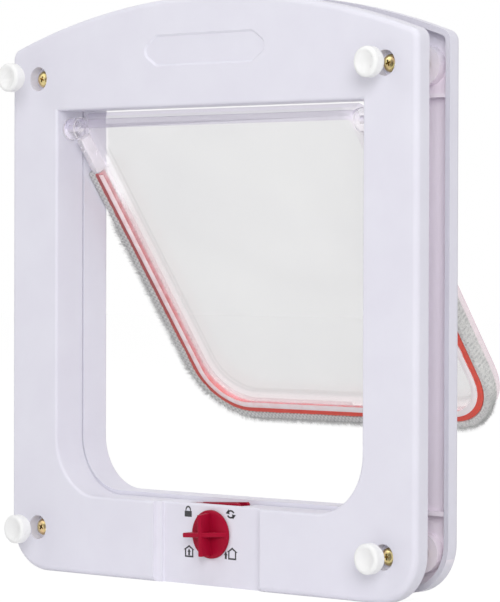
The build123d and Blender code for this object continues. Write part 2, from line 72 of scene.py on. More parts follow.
class Wiring:
    """Places nodes in one node tree and joins them."""

    def __init__(self, tree: bpy.types.NodeTree) -> None:
        """Starts on an emptied tree."""
        self.tree = tree
        tree.nodes.clear()

    def add(self, kind: str, inputs: dict | None = None, **settings: object) -> Node:
        """Adds one shader node.

        Args:
            kind: Node type without its ShaderNode prefix.
            inputs: Values or sockets for its inputs, by socket name or number.
            settings: Properties set on the node itself.

        Returns:
            The new node.
        """
        node = self.tree.nodes.new("ShaderNode" + kind)
        for key, value in settings.items():
            setattr(node, key, value)
        for key, value in (inputs or {}).items():
            if isinstance(value, Socket):
                self.tree.links.new(value, node.inputs[key])
            else:
                node.inputs[key].default_value = value
        return node

    def mix(self, share: object, first: object, second: object) -> Socket:
        """Mixes two colours.

        Args:
            share: Socket or number, 0 for the first colour and 1 for the second.
            first: Colour or colour socket.
            second: Colour or colour socket.

        Returns:
            The mixed colour's socket.
        """
        ends = {6: first, 7: second}
        inputs = {key: (*end, 1.0) if isinstance(end, tuple) else end for key, end in ends.items()}
        return self.add("Mix", {0: share, **inputs}, data_type="RGBA").outputs[2]

    def span(self, value: Socket, low: float, high: float,
             start: float = 0.0, stop: float = 1.0) -> Socket:
        """Maps a value onto another range, low at the start and high at the stop."""
        limits = {"Value": value, "From Min": start, "From Max": stop, "To Min": low, "To Max": high}
        return self.add("MapRange", limits).outputs[0]

    def maths(self, operation: str, first: object, second: object = 0.0) -> Socket:
        """Joins two sockets or numbers by one Math node."""
        return self.add("Math", {0: first, 1: second}, operation=operation).outputs[0]

    def effect(self, effect: "Effect", **values: float) -> Outputs:
        """Places a shared effect with its own inputs and gives its results by name."""
        return self.add("Group", values, node_tree=EFFECTS.group(effect)).outputs

    def times(self, first: object, second: object) -> Socket:
        """Multiplies two values."""
        return self.maths("MULTIPLY", first, second)

    def rise(self, value: Socket, start: float, stop: float) -> Socket:
        """Gives 0 up to the start, 1 from the stop on and an even slope between."""
        return self.span(value, 0.0, 1.0, start, stop)

    def fall(self, value: Socket, start: float, stop: float) -> Socket:
        """Gives 1 up to the start, 0 from the stop on and an even slope between."""
        return self.span(value, 1.0, 0.0, start, stop)

    def noise(self, place: Socket, scale: object, detail: float, roughness: float = 0.5) -> Socket:
        """Lays soft noise over a place."""
        inputs = {"Vector": place, "Scale": scale, "Detail": detail, "Roughness": roughness}
        return self.add("TexNoise", inputs).outputs[0]

    def bump(self, height: Socket, strength: float, distance: float) -> Socket:
        """Turns a height into a bumped normal."""
        return self.add("Bump", {"Height": height, "Strength": strength, "Distance": distance}).outputs[0]

    def seen(self) -> Socket:
        """Gives 1 for rays from the eye, from gloss and through clear plastic, and 0 for the light itself.

        Returns:
            The mask's socket.
        """
        path = self.add("LightPath").outputs
        near = self.maths("MAXIMUM", path["Is Camera Ray"], path["Is Glossy Ray"])
        return self.maths("MAXIMUM", near, path["Is Transmission Ray"])

    def place(self) -> Socket:
        """Gives the place in the piece's own coordinates, in metres."""
        return self.add("TexCoord").outputs["Object"]

    def split(self, vector: Socket) -> Outputs:
        """Splits a vector into its three parts."""
        return self.add("SeparateXYZ", {0: vector}).outputs


class Effect(Enum):
    """Surface effects that several finishes share."""

    GRAIN = "moulded_grain"
    WEAR = "handling_wear"
    FIBRE = "fibre_fleck"


class EffectLibrary:
    """Builds each shared effect once, as a shader node group."""

    def __init__(self) -> None:
        """Starts with no groups built."""
        self.built: dict[Effect, bpy.types.NodeTree] = {}

    def group(self, effect: Effect) -> bpy.types.NodeTree:
        """Gives the group of an effect, building it at its first use.

        Args:
            effect: Which effect.

        Returns:
            The node group.
        """
        if effect not in self.built:
            makers = {Effect.GRAIN: self.grain, Effect.WEAR: self.wear, Effect.FIBRE: self.fibre}
            tree = bpy.data.node_groups.new(effect.value, "ShaderNodeTree")
            tree.interface.new_socket("Scale", in_out="INPUT", socket_type="NodeSocketFloat")
            wiring = Wiring(tree)
            scale = tree.nodes.new("NodeGroupInput").outputs["Scale"]
            results = makers[effect](wiring, wiring.place(), scale)
            for name in results:
                tree.interface.new_socket(name, in_out="OUTPUT", socket_type="NodeSocketFloat")
            leave = tree.nodes.new("NodeGroupOutput")
            for name, result in results.items():
                tree.links.new(result, leave.inputs[name])
            self.built[effect] = tree
        return self.built[effect]

    def grain(self, wiring: Wiring, place: Socket, scale: Socket) -> dict[str, Socket]:
        """Fine mould texture with a broad cloudiness."""
        broad = wiring.noise(place, wiring.times(scale, 0.035), 4.0, 0.55)
        return {"Height": wiring.noise(place, scale, 3.0, 0.6), "Mottle": wiring.rise(broad, 0.3, 0.7)}

    def wear(self, wiring: Wiring, place: Socket, scale: Socket) -> dict[str, Socket]:
        """Thin crossing rub marks in patches.

        Args:
            wiring: Wiring of the group.
            place: The piece's own coordinates.
            scale: Fineness of the effect.

        Returns:
            The results by name.
        """
        joined = 0.0
        for turn in (0.4, 1.3, 2.2):
            slant = wiring.add("Mapping", {"Vector": place, "Rotation": (turn, turn, 0.5),
                                           "Scale": (1.0, 14.0, 14.0)})
            line = wiring.noise(slant.outputs[0], scale, 1.0)
            joined = wiring.maths("MAXIMUM", wiring.rise(line, 0.68, 0.74), joined)
        patch = wiring.noise(place, wiring.times(scale, 0.8), 2.0)
        return {"Mask": wiring.times(joined, wiring.rise(patch, 0.45, 0.65))}

    def fibre(self, wiring: Wiring, place: Socket, scale: Socket) -> dict[str, Socket]:
        """Flecks of single fibres over slow shade changes.

        Args:
            wiring: Wiring of the group.
            place: The piece's own coordinates.
            scale: Fineness of the effect.

        Returns:
            The results by name.
        """
        cells = wiring.add("TexVoronoi", {"Vector": place, "Scale": scale})
        fleck = wiring.add("SeparateColor", {0: cells.outputs["Color"]}).outputs[0]
        slow = wiring.noise(place, wiring.times(scale, 0.12), 3.0)
        return {"Fleck": fleck, "Shade": wiring.rise(slow, 0.3, 0.7)}


EFFECTS = EffectLibrary()


@dataclass(frozen=True)
class Finish:
    """A material with its surface wired by a subclass."""

    name: str

    def make(self) -> bpy.types.Material:
        """Builds the material.

        Returns:
            The material, ready for a slot.
        """
        material = bpy.data.materials.new(self.name)
        material.use_nodes = True
        wiring = Wiring(material.node_tree)
        wiring.add("OutputMaterial", {"Surface": self.surface(wiring).outputs[0]})
        return material

    def surface(self, wiring: Wiring) -> Node:
        """Wires the surface shader."""
        raise NotImplementedError


@dataclass(frozen=True)
class MouldedPlastic(Finish):
    """Opaque injection-moulded plastic with mould grain and rub marks."""

    light: Colour
    dark: Colour
    roughness: float
    grain: float = 1400.0
    depth: float = 0.03
    wear: float = 22.0
    gloss: float = 0.5
    rubbed: float = 0.12
    uneven: float = 0.04
    relief: float = 0.35

    def tint(self, wiring: Wiring, grain: Outputs) -> Socket:
        """Mixes the mottled colour."""
        return wiring.mix(grain["Mottle"], self.dark, self.light)

    def surface(self, wiring: Wiring) -> Node:
        """Wires grain into colour, roughness and bump.

        Args:
            wiring: The material's wiring.

        Returns:
            The surface shader.
        """
        grain = wiring.effect(Effect.GRAIN, Scale=self.grain)
        wear = wiring.effect(Effect.WEAR, Scale=self.wear)
        worn = wiring.times(wear["Mask"], self.rubbed)
        base = wiring.span(grain["Mottle"], self.roughness + self.uneven, self.roughness - self.uneven)
        height = wiring.maths("SUBTRACT", grain["Height"], worn)
        return wiring.add("BsdfPrincipled", {
            "Base Color": self.tint(wiring, grain), "Roughness": wiring.maths("ADD", base, worn), "IOR": 1.5,
            "Normal": wiring.bump(height, self.relief, self.depth * 0.001), "Specular IOR Level": self.gloss,
        })


@dataclass(frozen=True)
class ShellPlastic(MouldedPlastic):
    """Moulded plastic of a thin shell, with painted light in its hollow: paler there, standing in for light
    that comes through the wall.
    """

    # hollow: colour of the painted light in the hollow between rim and collar
    hollow: Colour = (1.0, 0.92, 1.0)
    depth_in: Pair = (0.0168, 0.02155)
    rim_half: float = 0.1135
    collar_half: float = 0.0896
    collar_z: Pair = (-0.083, 0.0872)
    fade_top: Pair = (0.095, 0.112)
    fade_low: Pair = (-0.1135, -0.111)
    fade_corner: Pair = (0.2135, 0.2165)

    def between(self, wiring: Wiring, place: Socket, low: float, high: float) -> Socket:
        """Gives 1 where a measure lies between two limits."""
        above = wiring.maths("GREATER_THAN", place, low)
        return wiring.times(above, wiring.maths("LESS_THAN", place, high))

    def tint(self, wiring: Wiring, grain: Outputs) -> Socket:
        """Mixes the mottled colour, with painted light between the rim and the collar: a paler tint there
        that stands in for light through the wall.

        Args:
            wiring: The material's wiring.
            grain: The grain effect.

        Returns:
            Socket of the colour.
        """
        across, depth, height = wiring.split(wiring.place())
        in_rim = self.between(wiring, across, -self.rim_half, self.rim_half)
        in_shell = wiring.times(in_rim, self.between(wiring, depth, *self.depth_in))
        beside = self.between(wiring, across, -self.collar_half, self.collar_half)
        in_collar = wiring.times(beside, self.between(wiring, height, *self.collar_z))
        glow_mask = wiring.maths("MAXIMUM", wiring.maths("SUBTRACT", in_shell, in_collar), 0.0)
        slant = wiring.maths("SUBTRACT", wiring.maths("ABSOLUTE", across), height)
        for inner in (wiring.fall(height, *self.fade_top), wiring.rise(height, *self.fade_low),
                      wiring.fall(slant, *self.fade_corner)):
            glow_mask = wiring.times(glow_mask, inner)
        # painted light: where the glow mask is set, the hollow is drawn in the paler hollow colour
        return wiring.mix(glow_mask, super().tint(wiring, grain), self.hollow)


@dataclass(frozen=True)
class ClearPlastic(Finish):
    """Clear plastic with a little haze and the slow waves of a moulded sheet."""

    light: Colour
    dark: Colour
    # flange_shade and crest: painted shade on the flap's top band, drawn lavender as the shaded frame shows
    # through it, and darker along its crest
    flange_shade: Colour
    crest: Colour
    rim: Colour
    # arm: painted light, the paler tint near the hinge that lifts the shade falling there
    arm: Colour
    fillet_shade: Colour
    skirt: Colour
    stain: Colour
    haze: float
    hinge: Pair = (0.0005, 0.0772)
    swing: float = 36.0
    flange_z: Pair = (0.0016, 0.0028)
    crest_z: Pair = (0.0043, 0.0045)
    arm_z: Pair = (-0.05, -0.035)
    strip_z: Pair = (-0.024, -0.018)
    web: Pair = (0.0105, 0.0125)
    web_slope: float = 0.56
    half: float = 0.0808
    drop: float = 0.1518
    corner: float = 0.0215
    wall_in: Pair = (0.0024, 0.0034)
    fillet_in: Pair = (0.004, 0.0048)
    skirt_in: Pair = (-0.0056, -0.0052)
    stain_depth: Pair = (-0.0036, 0.006)
    shade: Colour = (0.93, 0.92, 0.93)

    def hung(self, wiring: Wiring) -> Outputs:
        """Finds a place on the flap as it hangs straight down, measured from the hinge.

        Args:
            wiring: The material's wiring.

        Returns:
            The place across, its depth and its height, in metres.
        """
        turned_back = wiring.add("VectorRotate", {
            "Vector": wiring.place(), "Center": (0.0, *self.hinge), "Angle": -math.radians(self.swing),
        }, rotation_type="X_AXIS")
        from_hinge = wiring.add("VectorMath", {0: turned_back.outputs[0], 1: (0.0, *self.hinge)},
                                operation="SUBTRACT")
        return wiring.split(from_hinge.outputs[0])

    def inset(self, wiring: Wiring, hung: Outputs) -> Socket:
        """Measures how far a place lies inside the flap's side and lower edges.

        Args:
            wiring: The material's wiring.
            hung: The place on the hanging flap.

        Returns:
            Socket of the distance in metres.
        """
        across = wiring.maths("SUBTRACT", wiring.maths("ABSOLUTE", hung[0]), self.half - self.corner)
        below = wiring.maths("SUBTRACT", wiring.times(hung[2], -1.0), self.drop - self.corner)
        inner = wiring.maths("MINIMUM", wiring.maths("MAXIMUM", across, below), 0.0)
        sides = [wiring.maths("POWER", wiring.maths("MAXIMUM", way, 0.0), 2.0) for way in (across, below)]
        outer = wiring.maths("SQRT", wiring.maths("ADD", *sides))
        return wiring.maths("SUBTRACT", self.corner, wiring.maths("ADD", outer, inner))

    def surface(self, wiring: Wiring) -> Node:
        """Wires haze, tint and waves, with a paler rim, a line of painted shade along the rim's inner foot,
        painted shade on the top band and painted light near the hinge.

        Args:
            wiring: The material's wiring.

        Returns:
            The surface shader.
        """
        grain = wiring.effect(Effect.GRAIN, Scale=500.0)
        wear = wiring.effect(Effect.WEAR, Scale=16.0)
        hung = self.hung(wiring)
        inset, depth, height = self.inset(wiring, hung), hung[1], hung[2]
        slant = wiring.maths("SUBTRACT", inset, wiring.times(height, self.web_slope))
        corner = wiring.fall(slant, *self.web)
        pane = wiring.mix(grain["Mottle"], self.dark, self.light)
        # painted light: the hinge corner is drawn in the paler arm colour
        sheet = wiring.mix(corner, pane, self.arm)
        # painted shade: a grey line along the rim's inner foot, standing in for the dark edge that refraction
        # shows there
        beside = wiring.fall(inset, *self.fillet_in)
        line = wiring.mix(wiring.maths("SUBTRACT", beside, corner), sheet, self.fillet_shade)
        below = wiring.fall(height, *self.strip_z)
        stained = wiring.times(below, wiring.fall(depth, *self.stain_depth))
        wall = wiring.mix(stained, self.rim, self.stain)
        # painted light: the rim wall near the hinge is drawn in the paler arm colour
        side = wiring.mix(wiring.rise(height, *self.arm_z), wall, self.arm)
        edge = wiring.mix(wiring.fall(inset, *self.wall_in), line, side)
        beyond = wiring.fall(inset, *self.skirt_in)
        lip = wiring.mix(wiring.times(beyond, below), edge, self.skirt)
        # painted shade: the top band, then the darker crest above it
        upper = wiring.mix(wiring.rise(height, *self.flange_z), lip, self.flange_shade)
        colour = wiring.mix(wiring.rise(height, *self.crest_z), upper, self.crest)
        base = wiring.span(grain["Mottle"], self.haze * 1.6, self.haze)
        rough = wiring.maths("ADD", base, wiring.times(wear["Mask"], 0.1))
        bump = wiring.bump(grain["Mottle"], 0.15, 0.0002)
        plastic = wiring.add("BsdfPrincipled", {
            "Base Color": colour, "Roughness": rough, "Normal": bump, "IOR": 1.05,
            "Transmission Weight": 0.88, "Coat Weight": 0.35, "Coat Roughness": 0.08, "Coat IOR": 1.5,
        })
        through = wiring.add("BsdfTransparent", {"Color": (*self.shade, 1.0)})
        to_lamp = wiring.add("LightPath").outputs["Is Shadow Ray"]
        return wiring.add("MixShader", {0: to_lamp, 1: plastic.outputs[0], 2: through.outputs[0]})


@dataclass(frozen=True)
class MilkyEdge(Finish):
    """Rounded edge of the clear moulding, milky, painted on its left with the colour of what lies behind it
    there and in another colour on its right.
    """

    light: Colour
    dark: Colour
    right: Colour
    clear: float
    fade: Pair = (-0.065, 0.01)

    def surface(self, wiring: Wiring) -> Node:
        """Wires uneven tint and gloss along the edge, with the painted colour of what lies behind it changing
        from left to right.

        Args:
            wiring: The material's wiring.

        Returns:
            The surface shader.
        """
        grain = wiring.effect(Effect.GRAIN, Scale=5000.0)
        place = wiring.split(wiring.place())
        left = wiring.mix(wiring.rise(grain["Mottle"], 0.25, 0.75), self.dark, self.light)
        # painted: the left takes the colour of what lies behind it, the right its own colour, across the fade
        colour = wiring.mix(wiring.rise(place[0], *self.fade), left, self.right)
        bump = wiring.bump(grain["Mottle"], 0.3, 0.0003)
        return wiring.add("BsdfPrincipled", {
            "Base Color": colour, "Roughness": wiring.span(grain["Mottle"], 0.3, 0.16), "IOR": 1.05,
            "Transmission Weight": self.clear, "Normal": bump, "Coat Weight": 0.4,
            "Coat Roughness": 0.12,
        })


@dataclass(frozen=True)
class FoamTape(Finish):
    """Double-sided foam tape: open cells at its front, darker at its left end in painted shade, pale where
    the glue spreads.
    """

    foam: Colour
    pore_and_shade_red: Colour
    glue: Colour
    fade: float
    left_shade_run: Pair = (60.0, 190.0)

    def surface(self, wiring: Wiring) -> Node:
        """Wires cells, the painted shade towards the left end and the glue by the tape's own run and depth.

        Args:
            wiring: The material's wiring.

        Returns:
            The surface shader.
        """
        place = wiring.split(wiring.add("UVMap", uv_map="strip").outputs[0])
        cells = wiring.effect(Effect.FIBRE, Scale=1500.0)
        patches = wiring.effect(Effect.GRAIN, Scale=9000.0)
        pores = wiring.span(cells["Fleck"], 0.0, 0.3)
        # painted shade: the tape darkens towards its left end
        left_shade_run = wiring.fall(place[0], *self.left_shade_run)
        body = wiring.mix(wiring.maths("MAXIMUM", left_shade_run, pores), self.foam, self.pore_and_shade_red)
        ragged = wiring.maths("ADD", place[1], wiring.span(patches["Mottle"], -1.0, 1.0))
        behind = wiring.rise(ragged, self.fade * 0.2, self.fade)
        colour = wiring.mix(behind, body, self.glue)
        bump = wiring.bump(cells["Fleck"], 0.5, 0.0002)
        return wiring.add("BsdfPrincipled", {
            "Base Color": colour, "Roughness": 0.6, "Normal": bump, "Specular IOR Level": 0.2,
            "Subsurface Weight": 0.25, "Subsurface Radius": (0.003, 0.001, 0.001), "Subsurface Scale": 1.0,
        })


@dataclass(frozen=True)
class WovenBacking(Finish):
    """Woven ground of the draught strip: staggered stitches on its front, plain felt round its edge."""

    thread: Colour
    gap: Colour
    pitch: float
    row: float
    felt_from: float

    def surface(self, wiring: Wiring) -> Node:
        """Wires rows of stitches by the strip's own run and width.

        Args:
            wiring: The material's wiring.

        Returns:
            The surface shader.
        """
        place = wiring.split(wiring.add("UVMap", uv_map="strip").outputs[0])
        run = wiring.times(place[0], 2 * math.pi / self.pitch)
        rise = wiring.times(place[1], math.pi / self.row)
        over = wiring.times(wiring.maths("SINE", run), wiring.maths("SINE", rise))
        fleck = wiring.effect(Effect.FIBRE, Scale=2600.0)
        clump = wiring.effect(Effect.FIBRE, Scale=850.0)
        felt = wiring.maths("GREATER_THAN", place[1], self.felt_from)
        matted = wiring.times(felt, wiring.span(clump["Fleck"], 0.15, 1.35))
        stitch = wiring.maths("MAXIMUM", wiring.rise(over, -1.0, 0.5), matted)
        fuzz = wiring.times(stitch, wiring.span(fleck["Fleck"], 0.5, 1.0))
        colour = wiring.mix(fuzz, self.gap, self.thread)
        bump = wiring.bump(fuzz, 0.7, 0.0003)
        return wiring.add("BsdfPrincipled", {
            "Base Color": colour, "Roughness": 0.85, "Normal": bump, "Sheen Weight": 0.3,
            "Sheen Roughness": 0.5, "Specular IOR Level": 0.2,
        })


@dataclass(frozen=True)
class PileFibre(Finish):
    """Single pile fibres, flecked from dark to pale."""

    dark: Colour
    light: Colour

    def surface(self, wiring: Wiring) -> Node:
        """Wires flecks along the strip.

        Args:
            wiring: The material's wiring.

        Returns:
            The surface shader.
        """
        fleck = wiring.effect(Effect.FIBRE, Scale=1100.0)
        share = wiring.maths("ADD", wiring.times(fleck["Fleck"], 0.7),
                             wiring.times(fleck["Shade"], 0.3))
        colour = wiring.mix(share, self.dark, self.light)
        rough = wiring.span(fleck["Fleck"], 0.6, 0.8)
        return wiring.add("BsdfPrincipled", {
            "Base Color": colour, "Roughness": rough, "Sheen Weight": 0.4, "Sheen Roughness": 0.4,
        })


@dataclass(frozen=True)
class YellowZinc(Finish):
    """Zinc plate with a yellow passivation that drifts to olive and rose."""

    gold: Colour
    olive: Colour
    rose: Colour

    def surface(self, wiring: Wiring) -> Node:
        """Wires the drifting tint and the rubbed roughness.

        Args:
            wiring: The material's wiring.

        Returns:
            The surface shader.
        """
        drift = wiring.effect(Effect.GRAIN, Scale=9000.0)
        fleck = wiring.effect(Effect.FIBRE, Scale=2400.0)
        wear = wiring.effect(Effect.WEAR, Scale=160.0)
        warm = wiring.mix(drift["Mottle"], self.gold, self.olive)
        tint = wiring.mix(wiring.span(fleck["Shade"], 0.0, 0.6, 0.5, 1.0), warm, self.rose)
        rough = wiring.maths("ADD", wiring.span(drift["Height"], 0.16, 0.3),
                             wiring.times(wear["Mask"], 0.2))
        bump = wiring.bump(drift["Height"], 0.2, 0.00004)
        return wiring.add("BsdfPrincipled", {
            "Base Color": tint, "Roughness": rough, "Metallic": 1.0, "Normal": bump,
        })


@dataclass(frozen=True)
class DrawnSteel(Finish):
    """Bright drawn wire with marks along it."""

    light: Colour
    dark: Colour

    def surface(self, wiring: Wiring) -> Node:
        """Wires draw marks along X.

        Args:
            wiring: The material's wiring.

        Returns:
            The surface shader.
        """
        along = wiring.add("Mapping", {"Vector": wiring.place(), "Scale": (60.0, 2600.0, 2600.0)})
        marks = wiring.noise(along.outputs[0], 1.0, 3.0)
        colour = wiring.mix(marks, self.dark, self.light)
        return wiring.add("BsdfPrincipled", {
            "Base Color": colour, "Roughness": wiring.span(marks, 0.2, 0.42), "Metallic": 1.0,
        })


@dataclass(frozen=True)
class PrintedInk(Finish):
    """Dark pad-printed ink, a little thin in places."""

    full: Colour
    thin: Colour

    def surface(self, wiring: Wiring) -> Node:
        """Wires thin places in the print.

        Args:
            wiring: The material's wiring.

        Returns:
            The surface shader.
        """
        grain = wiring.effect(Effect.GRAIN, Scale=5200.0)
        thin = wiring.span(grain["Height"], 0.0, 0.6, 0.5, 0.8)
        return wiring.add("BsdfPrincipled", {
            "Base Color": wiring.mix(thin, self.full, self.thin), "Roughness": wiring.span(thin, 0.4, 0.6),
        })


@dataclass(frozen=True)
class GlowingPaper(Finish):
    """White paper that shows as pure white and keeps a faint shadow."""

    paper: Colour
    glow: float
    shadow: float

    def surface(self, wiring: Wiring) -> Node:
        """Wires the paper under the glow.

        Args:
            wiring: The material's wiring.

        Returns:
            The surface shader.
        """
        paper = wiring.add("BsdfDiffuse", {"Color": (*self.paper, 1.0)})
        glow = wiring.add("Emission", {"Color": (1, 1, 1, 1), "Strength": self.glow})
        share = wiring.times(wiring.seen(), 1.0 - self.shadow)
        return wiring.add("MixShader", {0: share, 1: paper.outputs[0], 2: glow.outputs[0]})


WHITE = MouldedPlastic("white_moulding", (0.8, 0.79, 0.875), (0.775, 0.76, 0.85), 0.42)
SHELL = ShellPlastic("white_shell", WHITE.light, WHITE.dark, WHITE.roughness)
PLUG = MouldedPlastic("plug_moulding", (0.915, 0.915, 0.91), (0.885, 0.885, 0.885), 0.3,
                      grain=2400.0, depth=0.01)
RED = MouldedPlastic("red_moulding", (0.39, 0.005, 0.032), (0.33, 0.004, 0.026), 0.36,
                     grain=2000.0, depth=0.015, gloss=0.1)
CLEAR = ClearPlastic("clear_flap", light=(0.84, 0.84, 0.84), dark=(0.81, 0.81, 0.815),
                     flange_shade=(0.85, 0.82, 0.9), crest=(0.72, 0.7, 0.77), rim=(0.85, 0.84, 0.85),
                     arm=(1.0, 0.98, 1.0), fillet_shade=(0.72, 0.72, 0.725), skirt=(0.8, 0.66, 0.71),
                     stain=(0.96, 0.75, 0.77), haze=0.02)
# painted highlight: the bead is opaque pale pink, standing in for the bright front edge of the clear rim
BEAD_HIGHLIGHT = MilkyEdge("milky_edge_highlight", (1.0, 0.86, 0.87), (0.96, 0.72, 0.74), (1.0, 0.93, 0.94), 0.0)
BARREL = MilkyEdge("milky_barrel", (1.0, 0.98, 1.0), (0.94, 0.92, 0.95), (0.98, 0.96, 0.99), 0.65)
# the second colour paints the open pores and the painted shade at the tape's left end
TAPE = FoamTape("red_foam", (0.92, 0.12, 0.085), (0.48, 0.13, 0.13), (0.64, 0.4, 0.43), 4.2)
BACKING = WovenBacking("woven_backing", (0.86, 0.855, 0.835), (0.47, 0.47, 0.465), 2.1, 1.55, 50.0)
FIBRE = PileFibre("grey_pile_fibre", (0.57, 0.575, 0.57), (0.93, 0.93, 0.91))
ZINC = YellowZinc("yellow_zinc", (0.88, 0.72, 0.36), (0.36, 0.31, 0.11), (0.7, 0.42, 0.28))
STEEL = DrawnSteel("drawn_steel", (0.92, 0.92, 0.94), (0.7, 0.7, 0.73))
PAPER = GlowingPaper("white_floor", (0.92, 0.92, 0.92), 1.07, 0.1)
INK = PrintedInk("dark_print", (0.03, 0.03, 0.035), (0.12, 0.12, 0.13))


def meshed(bm: BMesh, name: str) -> Mesh:
    """Turns a bmesh into a mesh and frees it.

    Args:
        bm: The bmesh.
        name: Name of the mesh.

    Returns:
        The mesh.
    """
    mesh = bpy.data.meshes.new(name)
    bm.to_mesh(mesh)
    bm.free()
    return mesh


def placed(name: str, data: bpy.types.ID) -> bpy.types.Object:
    """Puts a mesh, lamp or camera into the scene.

    Args:
        name: Name of the object.
        data: What it holds.

    Returns:
        The object, at the origin.
    """
    obj = bpy.data.objects.new(name, data)
    bpy.context.scene.collection.objects.link(obj)
    return obj


class Workshop:
    """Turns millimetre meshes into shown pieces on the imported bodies."""

    def __init__(self) -> None:
        """Starts with no materials made."""
        self.materials: dict[str, bpy.types.Material] = {}

    def material(self, finish: Finish) -> bpy.types.Material:
        """Gives the material of a finish, making it at its first use.

        Args:
            finish: Which finish.

        Returns:
            The material.
        """
        if finish.name not in self.materials:
            self.materials[finish.name] = finish.make()
        return self.materials[finish.name]

    def dress(self, node: str, finish: Finish) -> None:
        """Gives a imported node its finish.

        Args:
            node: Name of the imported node.
            finish: Finish for all its faces.
        """
        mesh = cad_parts[node].data
        mesh.materials.clear()
        mesh.materials.append(self.material(finish))
        LOG.info("dressed %s in %s", node, finish.name)

    def seat(self, bm: BMesh, name: str, finish: Finish, body: str, slot: str, *nodes: str,
             smooth: float = 40.0) -> None:
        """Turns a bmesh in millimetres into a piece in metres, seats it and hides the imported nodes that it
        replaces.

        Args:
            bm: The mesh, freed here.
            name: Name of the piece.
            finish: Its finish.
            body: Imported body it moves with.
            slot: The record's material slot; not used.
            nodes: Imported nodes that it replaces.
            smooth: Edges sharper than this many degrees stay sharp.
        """
        bmesh.ops.scale(bm, vec=(0.001, 0.001, 0.001), verts=bm.verts)
        mesh = meshed(bm, name)
        mesh.materials.append(self.material(finish))
        mesh.shade_smooth()
        mesh.set_sharp_from_angle(angle=math.radians(smooth))
        obj = placed(name, mesh)
        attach(obj, body)
        if nodes:
            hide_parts(*nodes)
        LOG.info("built %s on %s, %d faces", obj.name, body, len(obj.data.polygons))


def turned(profile: list[Pair], steps: int) -> BMesh:
    """Turns a profile about the Y axis.

    Args:
        profile: Radius and Y of each point, from one end of the axis to the other.
        steps: Number of steps round the axis.

    Returns:
        A closed mesh in millimetres.
    """
    bm = bmesh.new()
    points = [bm.verts.new((radius, along, 0.0)) for radius, along in profile]
    edges = [bm.edges.new(pair) for pair in zip(points, points[1:])]
    bmesh.ops.spin(bm, geom=points + edges, cent=(0, 0, 0), axis=(0, 1, 0), angle=2 * math.pi, steps=steps,
                   use_merge=True)
    bmesh.ops.remove_doubles(bm, verts=bm.verts, dist=0.0005)
    bmesh.ops.recalc_face_normals(bm, faces=bm.faces)
    return bm


def add_copy(bm: BMesh, source: Mesh, place: Matrix) -> None:
    """Adds a placed copy of a mesh.

    Args:
        bm: Mesh that receives it.
        source: Mesh to copy.
        place: Where it goes.
    """
    copy = source.copy()
    copy.transform(place)
    bm.from_mesh(copy)
    bpy.data.meshes.remove(copy)


def drawn_out(bm: BMesh, faces: list[BMFace], move: Vector | Point,
              keep: bool = True) -> BMFace:
    """Extrudes faces straight on.

    Args:
        bm: Mesh that holds them.
        faces: Faces to extrude.
        move: How far they move.
        keep: Whether the first faces stay and close the solid.

    Returns:
        One of the moved faces.
    """
    grown = bmesh.ops.extrude_face_region(bm, geom=faces, use_keep_orig=keep)["geom"]
    bmesh.ops.translate(bm, vec=move, verts=[g for g in grown if isinstance(g, BMVert)])
    return next(g for g in grown if isinstance(g, BMFace))


@dataclass
class Assembly:
    """A part of the cat flap that is built and seated by the workshop."""

    shop: Workshop

    def build(self) -> None:
        """Builds its pieces."""
        raise NotImplementedError


